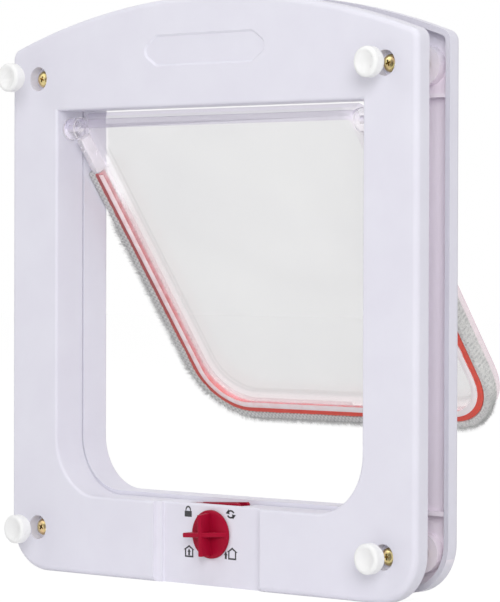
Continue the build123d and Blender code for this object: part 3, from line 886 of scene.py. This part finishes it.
@dataclass
class DoorScrews(Assembly):
    """Four cross-head screws that clamp the frames on the door."""

    pitch_x: float = 201.0
    pitch_z: float = 198.6
    seat: float = -2.9
    head_d: float = 7.4
    head_h: float = 2.6
    neck_d: float = 5.0
    core_d: float = 3.0
    crest_d: float = 3.88
    crest_flat: float = 0.12
    flank: float = 0.32
    root_sink: float = 0.05
    thread_from: float = 0.6
    tip: float = 21.4
    lead: float = 1.4
    cross_w: float = 4.3
    cross_t: float = 1.0
    cross_deep: float = 1.5
    cross_turn: float = 0.35
    cross_stock: float = 4.0
    cross_taper: Pair = (0.4, 0.55)
    point: float = 0.8
    facets: int = 18
    step_turn: float = 0.9

    def head(self) -> Mesh:
        """Turns the pan head and shank, and sinks the cross recess.

        Returns:
            Mesh of one screw without its thread.
        """
        r, top = self.head_d / 2, self.seat - self.head_h
        neck, core = self.neck_d / 2, self.core_d / 2
        profile = [(0.0, top), (r * 0.42, top + 0.06), (r * 0.68, top + 0.3), (r * 0.87, top + 0.75),
                   (r * 0.97, top + 1.35), (r, top + 2.0), (r * 0.985, self.seat - 0.12),
                   (r * 0.95, self.seat), (neck, self.seat), (neck, -0.25), (core, 0.3),
                   (core, self.tip - self.point), (core - 0.6, self.tip), (0.0, self.tip)]
        blank = placed("screw_blank", meshed(turned(profile, 40), "screw_blank"))
        arms = [placed("screw_arm", self.arm(top, turn))
                for turn in (self.cross_turn, self.cross_turn + math.pi / 2)]
        for arm in arms:
            cut = blank.modifiers.new("cross", "BOOLEAN")
            cut.operation = "DIFFERENCE"
            cut.solver = "EXACT"
            cut.object = arm
        bpy.context.view_layer.update()
        done = bpy.data.meshes.new_from_object(blank.evaluated_get(bpy.context.evaluated_depsgraph_get()))
        for obj in (blank, *arms):
            bpy.data.objects.remove(obj)
        return done

    def arm(self, top: float, turn: float) -> Mesh:
        """Builds one tapered arm of the cross that sinks the recess.

        Args:
            top: Y of the crown of the head.
            turn: Angle of the arm round the screw, in radians.

        Returns:
            Mesh of the cutter.
        """
        bm = bmesh.new()
        stock = Matrix.Diagonal((self.cross_w, self.cross_stock, self.cross_t, 1))
        sunk = Matrix.Translation((0, top + self.cross_deep - self.cross_stock / 2, 0))
        bmesh.ops.create_cube(bm, size=1.0, matrix=sunk @ stock)
        deep = [v for v in bm.verts if v.co.y > top]
        taper_w, taper_t = self.cross_taper
        bmesh.ops.scale(bm, vec=(taper_w, 1, taper_t), verts=deep)
        bmesh.ops.rotate(bm, cent=(0, 0, 0), matrix=Matrix.Rotation(turn, 3, "Y"), verts=bm.verts)
        return meshed(bm, "screw_arm")

    def thread(self) -> Mesh:
        """Winds a triangular ridge round the core.

        Returns:
            Mesh of the thread.
        """
        bm = bmesh.new()
        core, crest = self.core_d / 2 - self.root_sink, self.crest_d / 2
        half, flat = self.lead * self.flank, self.crest_flat / 2
        points = [bm.verts.new((radius, self.thread_from + along, 0.0))
                  for radius, along in ((core, -half), (crest, -flat), (crest, flat), (core, half))]
        edges = [bm.edges.new(pair) for pair in zip(points, points[1:])]
        turns = (self.tip - self.point - self.thread_from) / self.lead
        bmesh.ops.spin(bm, geom=points + edges, cent=(0, 0, 0), axis=(0, 1, 0),
                       dvec=(0, self.lead / self.facets, 0), angle=2 * math.pi * turns,
                       steps=round(turns * self.facets))
        bmesh.ops.recalc_face_normals(bm, faces=bm.faces)
        return meshed(bm, "screw_thread")

    def build(self) -> None:
        """Builds the four screws as one piece."""
        parts = [self.head(), self.thread()]
        bm = bmesh.new()
        for index, (sx, sz) in enumerate(((-1, 1), (1, 1), (-1, -1), (1, -1))):
            spin = Matrix.Rotation(self.step_turn * index, 4, "Y")
            place = Matrix.Translation((sx * self.pitch_x / 2, 0, sz * self.pitch_z / 2)) @ spin
            for part in parts:
                add_copy(bm, part, place)
        self.shop.seat(bm, "door_screw_set", ZINC, "frame", "zinc_steel", "frame_screws")


@dataclass
class Plugs(Assembly):
    """Four push-in plugs that hide the screws, drawn out of their holes."""

    head_r: float = 6.3
    head_t: float = 4.2
    stem_r: float = 5.22
    stem_t: float = 1.9
    hollow_r: float = 3.62
    rim: float = 1.35
    dish_r: float = 4.5
    dish: float = 0.7
    dish_slope: float = 1.0
    nodes: tuple[str, ...] = ("plug_top_left", "plug_top_right", "plug_low_left", "plug_low_right")

    def button(self) -> Mesh:
        """Shapes one plug about Y, its stem end at the origin and its dished head towards the room.

        Returns:
            Mesh of the plug.
        """
        bm = bmesh.new()
        lay = Matrix.Rotation(math.radians(90), 4, "X")
        ring = bmesh.ops.create_circle(bm, cap_ends=True, segments=56, radius=self.head_r,
                                       matrix=Matrix.Translation((0, -self.stem_t, 0)) @ lay)
        base = ring["verts"][0].link_faces[0]
        face = drawn_out(bm, [base], (0, -self.head_t, 0))
        bmesh.ops.recalc_face_normals(bm, faces=bm.faces)
        bmesh.ops.inset_region(bm, faces=[face], thickness=self.head_r - self.dish_r, use_even_offset=True)
        bmesh.ops.inset_region(bm, faces=[face], thickness=self.dish_slope, use_even_offset=True,
                               depth=-self.dish)
        edge = [e for e in bm.edges if all(abs(v.co.y + self.stem_t + self.head_t) < 1e-4 for v in e.verts)
                and all(abs(math.hypot(v.co.x, v.co.z) - self.head_r) < 1e-3 for v in e.verts)]
        bmesh.ops.bevel(bm, geom=edge, offset=self.rim, segments=7, profile=0.5, affect="EDGES", material=-1)
        low = max((f for f in bm.faces if len(f.verts) > 8), key=lambda f: f.calc_center_median().y)
        bmesh.ops.inset_region(bm, faces=[low], thickness=self.head_r - self.stem_r, use_even_offset=True)
        low = drawn_out(bm, [low], (0, self.stem_t, 0), keep=False)
        bmesh.ops.inset_region(bm, faces=[low], thickness=self.stem_r - self.hollow_r, use_even_offset=True)
        drawn_out(bm, [low], (0, -self.stem_t, 0), keep=False)
        bmesh.ops.recalc_face_normals(bm, faces=bm.faces)
        return meshed(bm, "plug_button")

    def build(self) -> None:
        """Places a plug for each packed one."""
        button = self.button()
        for node in self.nodes:
            low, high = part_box(node)
            middle = (low + high) / 2 * 1000
            bm = bmesh.new()
            add_copy(bm, button, Matrix.Translation((middle.x, high.y * 1000, middle.z)))
            self.shop.seat(bm, node + "_button", PLUG, node, "plug_white", node)


@dataclass
class LockKnob(Assembly):
    """Red knob with an upright grip, a pointer fin and its spindle."""

    axis_x: float = 2.2
    axis_z: float = -96.3
    back: float = -3.8
    rest: float = 2.8
    radius: float = 10.3
    disc_t: float = 1.6
    fin_t: float = 2.0
    fin_h: float = 6.8
    fin_in: float = 1.2
    fin_sink: float = 0.6
    fin_edge: float = 0.45
    slope: float = 0.6
    tail: float = 0.6
    tip_in: float = 0.4
    tip: float = 0.8
    spindle_d: float = 7.0
    spindle_end: float = -1.1
    drive: float = 5.0
    drive_end: float = 4.8

    def fin(self, bm: BMesh, outline: list[Pair], along: Vector) -> None:
        """Adds a fin from its side outline, with rounded edges.

        Args:
            bm: Mesh that receives it.
            outline: Distance along the fin and height above the disc, of each corner.
            along: Direction of the fin.
        """
        own = bmesh.new()
        across = along.cross(Vector((0, 1, 0)))
        foot = Vector((0, self.back - self.disc_t + self.fin_sink, 0)) - across * self.fin_t / 2
        points = [own.verts.new(foot + along * run - Vector((0, rise, 0))) for run, rise in outline]
        drawn_out(own, [own.faces.new(points)], across * self.fin_t)
        bmesh.ops.recalc_face_normals(own, faces=own.faces)
        bmesh.ops.bevel(own, geom=own.edges, offset=self.fin_edge, segments=3, profile=0.5,
                        affect="EDGES", material=-1)
        add_copy(bm, meshed(own, "fin"), Matrix.Identity(4))

    def build(self) -> None:
        """Builds the knob and dresses the cams behind it."""
        r, front = self.radius, self.back - self.disc_t
        bm = turned([(0.0, front), (r - 0.75, front), (r - 0.3, front + 0.1), (r - 0.08, front + 0.35),
                     (r, front + 0.7), (r, self.back - 0.1), (r - 0.1, self.back),
                     (self.spindle_d / 2, self.back), (self.spindle_d / 2, self.spindle_end),
                     (0.0, self.spindle_end)], 72)
        half = r - self.fin_in
        tail = half + self.tail
        end = r - self.tip_in
        upright = [(-half, 0), (half, 0), (half - self.slope, self.fin_h), (-half, self.fin_h)]
        pointer = [(-tail, 0), (end, 0), (end, self.tip), (0, self.fin_h), (-tail, self.fin_h)]
        self.fin(bm, upright, Vector((0, 0, 1)))
        self.fin(bm, pointer, Vector((1, 0, 0)))
        reach = self.drive_end - self.spindle_end
        stock = Matrix.Diagonal((self.drive, reach, self.drive, 1))
        bmesh.ops.create_cube(bm, size=1.0,
                              matrix=Matrix.Translation((0, self.spindle_end + reach / 2, 0)) @ stock)
        turn = Matrix.Rotation(math.radians(-self.rest), 4, "Y")
        place = Matrix.Translation((self.axis_x, 0, self.axis_z)) @ turn
        bmesh.ops.transform(bm, matrix=place, verts=bm.verts)
        self.shop.seat(bm, "lock_knob_grip", RED, "lock", "red_plastic", "lock_knob")
        self.shop.dress("lock_cams", RED)
        self.shop.dress("lock_screw", ZINC)


@dataclass(frozen=True)
class StripLine:
    """Line down the flap's left side, round both lower corners and up its right side."""

    half: float
    foot: float
    corner: float
    top: float

    def side(self) -> float:
        """Length of one straight side."""
        return self.top - self.foot - self.corner

    def bend(self) -> float:
        """Length of one corner."""
        return self.corner * math.pi / 2

    def base(self) -> float:
        """Length of the straight foot."""
        return 2 * (self.half - self.corner)

    def length(self) -> float:
        """Length of the whole line."""
        return 2 * self.side() + 2 * self.bend() + self.base()

    def at(self, run: float) -> tuple[Vector, Vector]:
        """Finds a place on the line.

        Args:
            run: Distance from the top of the left side.

        Returns:
            The point and the direction straight out of the flap.
        """
        mirror = run > self.length() / 2
        run = self.length() - run if mirror else run
        if run <= self.side():
            point, out = Vector((-self.half, 0, self.top - run)), Vector((-1, 0, 0))
        elif run <= self.side() + self.bend():
            angle = (run - self.side()) / self.corner
            out = Vector((-math.cos(angle), 0, -math.sin(angle)))
            point = Vector((self.corner - self.half, 0, self.foot + self.corner)) + out * self.corner
        else:
            along = run - self.side() - self.bend()
            point, out = Vector((self.corner - self.half + along, 0, self.foot)), Vector((0, 0, -1))
        if mirror:
            point.x, out.x = -point.x, -out.x
        return point, out

    def run_of(self, point: Vector) -> Pair:
        """Finds how far along and how far out a point lies.

        Args:
            point: A point near the line.

        Returns:
            Distance along the line and distance out from it.
        """
        x, z = -abs(point.x), point.z
        across, rise = x - (self.corner - self.half), z - (self.foot + self.corner)
        if rise >= 0:
            run, out = self.top - z, -self.half - x
        elif across <= 0:
            run = self.side() + self.corner * math.atan2(-rise, -across)
            out = math.hypot(across, rise) - self.corner
        else:
            run, out = self.side() + self.bend() + across, self.foot - z
        return (run if point.x <= 0 else self.length() - run), out

    def sweep(self, section: list[Pair], step: float) -> BMesh:
        """Sweeps a closed section along the line.

        Args:
            section: Distance out and Y of each corner of the section.
            step: Longest step on the straight runs.

        Returns:
            A closed band in millimetres.
        """
        bm = bmesh.new()
        ring = [bm.verts.new((-self.half - out, along, self.top)) for out, along in section]
        edges = [bm.edges.new(pair) for pair in zip(ring, ring[1:] + ring[:1])]
        first = list(edges)

        def draw(edges: list[BMEdge], move: Vector) -> list[BMEdge]:
            """Draws the section straight on in even steps.

            Args:
                edges: Its last ring.
                move: How far it goes.

            Returns:
                The new last ring.
            """
            count = math.ceil(move.length / step)
            for _ in range(count):
                grown = bmesh.ops.extrude_edge_only(bm, edges=edges)["geom"]
                ahead = [g for g in grown if isinstance(g, BMVert)]
                bmesh.ops.translate(bm, vec=move / count, verts=ahead)
                edges = [g for g in grown if isinstance(g, BMEdge)]
            return edges

        def bend(edges: list[BMEdge], centre: float) -> list[BMEdge]:
            """Turns the section round a lower corner.

            Args:
                edges: Its last ring.
                centre: X of the corner's middle.

            Returns:
                The new last ring.
            """
            ends = bmesh.ops.spin(bm, geom=edges, cent=(centre, 0, self.foot + self.corner), axis=(0, -1, 0),
                                  angle=math.pi / 2, steps=18)["geom_last"]
            return [g for g in ends if isinstance(g, BMEdge)]

        edges = draw(edges, Vector((0, 0, -self.side())))
        edges = bend(edges, self.corner - self.half)
        edges = draw(edges, Vector((self.base(), 0, 0)))
        edges = bend(edges, self.half - self.corner)
        edges = draw(edges, Vector((0, 0, self.side())))
        for loop in (first, edges):
            bmesh.ops.contextual_create(bm, geom=loop)
        bmesh.ops.recalc_face_normals(bm, faces=bm.faces)
        return bm


@dataclass
class Flap(Assembly):
    """Clear flap with its foam tape and the pile strip round three edges."""

    axis_y: float = 0.5
    axis_z: float = 77.2
    swing: float = 36.0
    tape: StripLine = StripLine(80.8, -74.6, 21.5, 54.8)
    pile: StripLine = StripLine(83.0, -76.8, 23.7, 54.8)
    front: float = -2.8
    back: float = 3.6
    tape_back: float = 1.0
    tape_t: float = 2.7
    tape_in: float = 0.03
    ragged: float = 0.3
    ragged_pitch: float = 0.45
    core_t: float = 5.0
    core_foot: float = 4.6
    core_right: float = 3.2
    core_shy: float = 0.15
    core_nose: Pair = (0.8, 0.65)
    pile_t: float = 9.0
    pile_foot: float = 8.0
    pile_right: float = 3.6
    pile_in_frame: float = 5.1
    groove: float = 1.3
    weave_faces: float = -0.3
    felt_shift: float = 100.0
    rim_front: float = -3.3
    bead_w: float = 2.9
    bead_h: float = 0.4
    barrel_r: float = 4.76
    barrel_x: Pair = (81.0, 88.1)
    lip: float = 0.3
    lip_w: float = 0.8
    arm_t: float = 3.4
    arm_gap: float = 0.2
    arm_edge: float = 0.6
    arm_y: Pair = (-2.6, 3.4)
    arm_z: Pair = (-4.4, -22.2)
    clear_of_frame: Pair = (37.0, 24.0)
    tuft: float = 2.0
    fibres: int = 150
    fibre_root: Pair = (0.5, 0.8)
    fibre_tip: Point = (0.68, 0.98, 0.82)
    fibre_lean: Pair = (0.1, 0.14)
    fibre_r: Pair = (0.06, 0.02)
    kinds: int = 8
    seed: int = 11

    def swung(self) -> Matrix:
        """Turn from hanging straight down to the modelled swing."""
        hinge = Matrix.Translation((0, self.axis_y, self.axis_z))
        return hinge @ Matrix.Rotation(math.radians(self.swing), 4, "X") @ hinge.inverted()

    def hang(self, bm: BMesh, name: str, finish: Finish, slot: str, *nodes: str,
             smooth: float = 40.0) -> None:
        """Swings a piece with the flap and seats it there."""
        bmesh.ops.transform(bm, matrix=self.swung(), verts=bm.verts)
        self.shop.seat(bm, name, finish, "flap", slot, *nodes, smooth=smooth)

    def mark_strip(self, bm: BMesh, line: StripLine, across: bool) -> None:
        """Gives a band its own coordinates in millimetres, before it is swung.

        Args:
            bm: The swept band.
            line: The line that it follows.
            across: True for the distance out from the line with felt beyond it, False for the depth
                behind the front.
        """
        layer = bm.loops.layers.uv.new("strip")
        woven = line.length() - line.side() - line.bend()
        for face in bm.faces:
            face.normal_update()
            run, out = line.run_of(face.calc_center_median())
            felt = 0.0 if face.normal.y < self.weave_faces and run < woven else self.felt_shift
            for loop in face.loops:
                run, out = line.run_of(loop.vert.co)
                loop[layer].uv = (run, out + felt if across else loop.vert.co.y - self.front)

    def build_tape(self) -> None:
        """Builds the tape with a slightly ragged front edge."""
        inner, outer = -self.tape_in, self.tape_t - self.tape_in
        bm = self.tape.sweep([(inner, self.front), (outer, self.front), (outer, self.tape_back),
                              (inner, self.tape_back)], 1.5)
        self.mark_strip(bm, self.tape, False)
        for vert in bm.verts:
            if vert.co.y < self.front + 0.1:
                place = Vector((vert.co.x, 3.0, vert.co.z)) * self.ragged_pitch
                vert.co.y += self.ragged * noise.noise(place)
        self.hang(bm, "strip_tape", TAPE, "red_tape", "seal_tape")

    def build_backing(self) -> None:
        """Builds the woven ground that carries the pile, narrower along the foot and the right side."""
        front = self.front + self.core_shy
        nose_w, nose_h = self.core_nose
        bm = self.pile.sweep([(0.0, front + self.groove), (self.groove, front), (self.core_t - nose_w, front),
                              (self.core_t, front + nose_h), (self.core_t, self.back), (0.0, self.back)], 4.0)
        self.mark_strip(bm, self.pile, True)
        for vert in bm.verts:
            run, out = self.pile.run_of(vert.co)
            away = self.pile.at(run)[1]
            side = self.core_right if vert.co.x > 0 else self.core_t
            wide = side + (self.core_foot - side) * away.z ** 2
            vert.co += away * out * (wide / self.core_t - 1.0)
        self.hang(bm, "strip_backing", BACKING, "grey_pile", "pile_seal")

    def bundle(self, rng: random.Random) -> Mesh:
        """Gathers one short tuft of fibres, run along X and rising along Z.

        Args:
            rng: Seeded source of chance.

        Returns:
            Mesh of the tuft.
        """
        bm = bmesh.new()
        for _ in range(self.fibres):
            depth = rng.uniform(self.front + 0.1, self.back - 0.1)
            root = rng.uniform(*self.fibre_root) * self.core_t
            rise = self.pile_t * rng.triangular(*self.fibre_tip) - root
            lean = (Matrix.Rotation(rng.gauss(0, self.fibre_lean[0]), 4, "X")
                    @ Matrix.Rotation(rng.gauss(0, self.fibre_lean[1]), 4, "Y"))
            place = Matrix.Translation((rng.uniform(-0.5, 0.5) * self.tuft, depth, root)) @ lean
            bmesh.ops.create_cone(bm, cap_ends=False, segments=3, radius1=self.fibre_r[0],
                                  radius2=self.fibre_r[1], depth=rise,
                                  matrix=place @ Matrix.Translation((0, 0, rise / 2)))
        return meshed(bm, "pile_tuft")

    def reach(self, point: Vector, out: Vector) -> float:
        """Finds how far the pile stands out at a place: brushed short at the right, flat inside the frame.

        Args:
            point: Place on the pile's line.
            out: Direction straight out of the flap there.

        Returns:
            Length of the longest fibres.
        """
        side = self.pile_right if point.x > 0 else self.pile_t
        free = side + (self.pile_foot - side) * out.z ** 2
        high, low = self.clear_of_frame
        share = min(max((high - point.z) / (high - low), 0.0), 1.0)
        return self.pile_in_frame + (free - self.pile_in_frame) * share

    def build_pile(self) -> None:
        """Sets tufts side by side along the strip."""
        rng = random.Random(self.seed)
        bundles = [self.bundle(rng) for _ in range(self.kinds)]
        count = round(self.pile.length() / self.tuft)
        bm = bmesh.new()
        for index in range(count):
            point, out = self.pile.at((index + 0.5) * self.pile.length() / count)
            along = Vector((0, 1, 0)).cross(out)
            rise = out * self.reach(point, out) / self.pile_t
            turn = Matrix((along, (0, 1, 0), rise)).transposed().to_4x4()
            add_copy(bm, bundles[rng.randrange(self.kinds)], Matrix.Translation(point) @ turn)
        self.hang(bm, "strip_pile", FIBRE, "grey_pile", "pile_seal", smooth=180.0)

    def build_bead(self) -> None:
        """Builds the rounded bead along the front of the clear rim, which catches the light; its opaque pale
        pink colour is a painted highlight.
        """
        wide, root = self.bead_w, self.rim_front + 0.2
        arc = [(-wide * k / 6, self.rim_front - self.bead_h * math.sin(math.pi * k / 6)) for k in range(7)]
        bm = self.tape.sweep(arc + [(-wide * 0.6, root), (-wide * 0.2, root)], 4.0)
        self.hang(bm, "rim_bead", BEAD_HIGHLIGHT, "clear_plastic")

    def hinge_end(self) -> Mesh:
        """Shapes the two lips of a barrel and the arm below it, about a hinge along X.

        Returns:
            Mesh of the right-hand end, with the hinge through the origin.
        """
        r, lip, wide = self.barrel_r, self.lip, self.lip_w
        bm = bmesh.new()
        for near in (self.barrel_x[0], self.barrel_x[1] - wide):
            ring = turned([(r - 0.1, near), (r + lip * 0.7, near + wide * 0.1), (r + lip, near + wide * 0.5),
                           (r + lip * 0.7, near + wide * 0.9), (r - 0.1, near + wide), (r - 0.1, near)], 48)
            add_copy(bm, meshed(ring, "barrel_lip"), Matrix.Rotation(math.radians(-90), 4, "Z"))
        (front, back), (top, low) = self.arm_y, self.arm_z
        stock = Matrix.Diagonal((self.arm_t, back - front, top - low, 1))
        across = self.barrel_x[0] + self.arm_gap + self.arm_t / 2
        middle = (across, (front + back) / 2 - self.axis_y, (top + low) / 2)
        arm = bmesh.ops.create_cube(bm, size=1.0, matrix=Matrix.Translation(middle) @ stock)["verts"]
        edges = {edge for vert in arm for edge in vert.link_edges}
        bmesh.ops.bevel(bm, geom=list(edges), offset=self.arm_edge, segments=3, profile=0.5,
                        affect="EDGES", material=-1)
        return meshed(bm, "hinge_end")

    def build_hinge_ends(self) -> None:
        """Builds the lips and arms of both barrels."""
        end = self.hinge_end()
        bm = bmesh.new()
        for side in (1, -1):
            place = Matrix.Translation((0, self.axis_y, self.axis_z)) @ Matrix.Diagonal((side, 1, 1, 1))
            add_copy(bm, end, place)
        bmesh.ops.recalc_face_normals(bm, faces=bm.faces)
        self.hang(bm, "hinge_ends", BARREL, "clear_plastic")

    def build(self) -> None:
        """Dresses the clear flap and builds its strip."""
        self.shop.dress("flap_panel", CLEAR)
        self.build_tape()
        self.build_backing()
        self.build_pile()
        self.build_bead()
        self.build_hinge_ends()


@dataclass
class LockMarks(Assembly):
    """Printed signs for the four lock settings, on the floor of the lock pocket."""

    floor: float = -3.5
    film: float = 0.08
    line: float = 0.68
    lock_case: Box = (-13.85, -9.75, -89.7, -87.2)
    shackle: tuple[Pair, Pair] = ((-11.8, -86.6), (1.55, 1.6))
    leg_x: Pair = (-13.35, -10.67)
    leg_w: float = 0.42
    leg_z: Pair = (-87.3, -86.5)
    cycle: tuple[Pair, Pair] = ((13.0, -87.25), (2.25, 1.8))
    cycle_arc: Pair = (20.0, 150.0)
    cycle_head: tuple[Pair, ...] = ((11.8, -85.2), (10.1, -87.0), (12.3, -87.3))
    houses: tuple[Box, ...] = ((-14.4, -8.0, -106.9, -101.7), (10.9, 16.9, -106.4, -101.2))
    arrows: tuple[Point, ...] = ((-11.2, -106.1, -103.2), (10.2, -106.3, -103.0))
    arrow_half: float = 0.95

    def outline(self, bm: BMesh, points: list[Pair]) -> None:
        """Draws the outline of a closed shape.

        Args:
            bm: Mesh that receives it.
            points: X and Z of its corners.
        """
        face = self.solid(bm, points)
        face.normal_update()
        bmesh.ops.inset_region(bm, faces=[face], thickness=self.line, use_even_offset=True, use_boundary=True)
        bmesh.ops.delete(bm, geom=[face], context="FACES")

    def solid(self, bm: BMesh, points: Sequence[Pair]) -> BMFace:
        """Fills a closed shape, given by X and Z of its corners."""
        return bm.faces.new([bm.verts.new((x, self.floor, z)) for x, z in points])

    def block(self, bm: BMesh, left: float, right: float, low: float, high: float) -> None:
        """Fills an upright rectangle."""
        self.solid(bm, [(left, low), (right, low), (right, high), (left, high)])

    def arc(self, bm: BMesh, centre: Pair, size: Pair, start: float,
            stop: float) -> None:
        """Draws part of a ring.

        Args:
            bm: Mesh that receives it.
            centre: X and Z of its middle.
            size: Half width and half height.
            start: First angle in degrees, from +X towards +Z.
            stop: Last angle in degrees.
        """
        own = bmesh.new()
        lay = Matrix.Rotation(math.radians(90), 4, "X")
        ring = bmesh.ops.create_circle(own, cap_ends=True, segments=48, radius=1.0, matrix=lay)
        face = ring["verts"][0].link_faces[0]
        bmesh.ops.inset_region(own, faces=[face], thickness=self.line / size[1], use_even_offset=True,
                               use_boundary=True)
        away = [face]
        for part in own.faces:
            middle = part.calc_center_median()
            angle = math.degrees(math.atan2(middle.z, middle.x)) % 360
            if part is not face and not start <= angle <= stop:
                away.append(part)
        bmesh.ops.delete(own, geom=away, context="FACES")
        place = Matrix.Translation((centre[0], self.floor, centre[1]))
        add_copy(bm, meshed(own, "arc"), place @ Matrix.Diagonal((size[0], 1, size[1], 1)))

    def house(self, bm: BMesh, left: float, right: float, low: float, high: float) -> None:
        """Draws a house with eaves.

        Args:
            bm: Mesh that receives it.
            left: X of the left eave.
            right: X of the right eave.
            low: Z of the ground.
            high: Z of the ridge.
        """
        middle, eave, inset = (left + right) / 2, low + (high - low) * 0.6, (right - left) * 0.12
        self.outline(bm, [(left + inset, low), (right - inset, low), (right - inset, eave), (right, eave),
                          (middle, high), (left, eave), (left + inset, eave)])

    def arrow(self, bm: BMesh, x: float, low: float, high: float, half: float) -> None:
        """Draws a solid upright arrow.

        Args:
            bm: Mesh that receives it.
            x: X of its middle.
            low: Z of its tail.
            high: Z of its point.
            half: Half width of its head.
        """
        neck = low + (high - low) * 0.5
        shaft = half * 0.55
        self.solid(bm, [(x - shaft, low), (x + shaft, low), (x + shaft, neck), (x + half, neck),
                        (x, high), (x - half, neck), (x - shaft, neck)])

    def build(self) -> None:
        """Prints the four signs."""
        bm = bmesh.new()
        self.block(bm, *self.lock_case)
        self.arc(bm, *self.shackle, 0, 180)
        for left in self.leg_x:
            self.block(bm, left, left + self.leg_w, *self.leg_z)
        start, stop = self.cycle_arc
        for turn in (0, 180):
            self.arc(bm, *self.cycle, start + turn, stop + turn)
        middle_x, middle_z = self.cycle[0]
        self.solid(bm, self.cycle_head)
        self.solid(bm, [(2 * middle_x - x, 2 * middle_z - z) for x, z in self.cycle_head])
        for walls, arrow in zip(self.houses, self.arrows):
            self.house(bm, *walls)
            self.arrow(bm, *arrow, self.arrow_half)
        bmesh.ops.recalc_face_normals(bm, faces=bm.faces)
        drawn_out(bm, bm.faces[:], (0, -self.film, 0))
        bmesh.ops.recalc_face_normals(bm, faces=bm.faces)
        self.shop.seat(bm, "lock_marks", INK, "frame", "white_plastic", smooth=20.0)


@dataclass
class Frames(Assembly):
    """The two moulded frames and the hinge pins pressed into them."""

    def build(self) -> None:
        """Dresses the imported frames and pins."""
        self.shop.dress("inner_frame", WHITE)
        self.shop.dress("outer_frame", SHELL)
        self.shop.dress("hinge_pins", STEEL)


@dataclass
class Studio:
    """White sweep, soft light and the camera."""

    floor_z: float = -0.1184
    floor_size: float = 8.0
    ambient: float = 0.34
    camera_at: Point = (0.9446, -1.0007, 0.0251)
    yaw: float = 42.724
    pitch: float = -0.946
    roll: float = 0.168
    lens: float = 194.13

    def build_world(self) -> None:
        """Makes a white surround that lights the object softly."""
        world = bpy.data.worlds.new("white_surround")
        world.use_nodes = True
        bpy.context.scene.world = world
        wiring = Wiring(world.node_tree)
        strength = wiring.span(wiring.seen(), self.ambient, 1.0)
        light = wiring.add("Background", {"Color": (1, 1, 1, 1), "Strength": strength})
        wiring.add("OutputWorld", {"Surface": light.outputs[0]})

    def build_floor(self) -> None:
        """Lays a white floor that keeps a faint shadow."""
        bm = bmesh.new()
        bmesh.ops.create_grid(bm, x_segments=1, y_segments=1, size=self.floor_size / 2,
                              matrix=Matrix.Translation((0, 0, self.floor_z)))
        mesh = meshed(bm, "floor")
        mesh.materials.append(PAPER.make())
        floor = placed("floor", mesh)

    def lamp(self, name: str, at: Point, size: float, power: float,
             mirrored: bool = True) -> None:
        """Hangs a square soft light aimed at the object.

        Args:
            name: Name of the lamp.
            at: Where it hangs, in metres.
            size: Side of the square, in metres.
            power: Its power in watts.
            mirrored: Whether glossy surfaces show the lamp.
        """
        light = bpy.data.lights.new(name, "AREA")
        light.shape = "SQUARE"
        light.size = size
        light.energy = power
        obj = placed(name, light)
        obj.visible_glossy = mirrored
        obj.location = at
        obj.rotation_euler = (-Vector(at)).to_track_quat("-Z", "Y").to_euler()

    def build_camera(self) -> None:
        """Sets the camera where the photograph was taken from."""
        data = bpy.data.cameras.new("camera")
        data.lens = self.lens
        data.sensor_width = 36.0
        data.clip_start = 0.01
        camera = placed("camera", data)
        yaw = Matrix.Rotation(math.radians(self.yaw), 4, "Z")
        pitch = Matrix.Rotation(math.radians(90 + self.pitch), 4, "X")
        roll = Matrix.Rotation(math.radians(self.roll), 4, "Z")
        camera.matrix_world = Matrix.Translation(self.camera_at) @ yaw @ pitch @ roll
        bpy.context.scene.camera = camera

    def build(self) -> None:
        """Sets up floor, surround, lamps and camera."""
        bpy.context.scene.view_settings.view_transform = "Standard"
        self.build_world()
        self.build_floor()
        self.lamp("key_light", (1.62, -1.54, 0.75), size=1.05, power=26.0, mirrored=False)
        self.lamp("fill_light", (-1.2, -1.6, 1.2), size=1.4, power=5.6)
        self.lamp("top_light", (0.1, -0.3, 2.2), size=1.6, power=14.5)
        self.build_camera()


def main() -> None:
    """Builds and dresses every part of the cat flap."""
    logging.basicConfig(level=logging.INFO, format="%(name)s: %(message)s")
    shop = Workshop()
    for assembly in (Frames, DoorScrews, Plugs, LockKnob, LockMarks, Flap):
        assembly(shop).build()
    Studio().build()


if __name__ == "__main__":
    main()
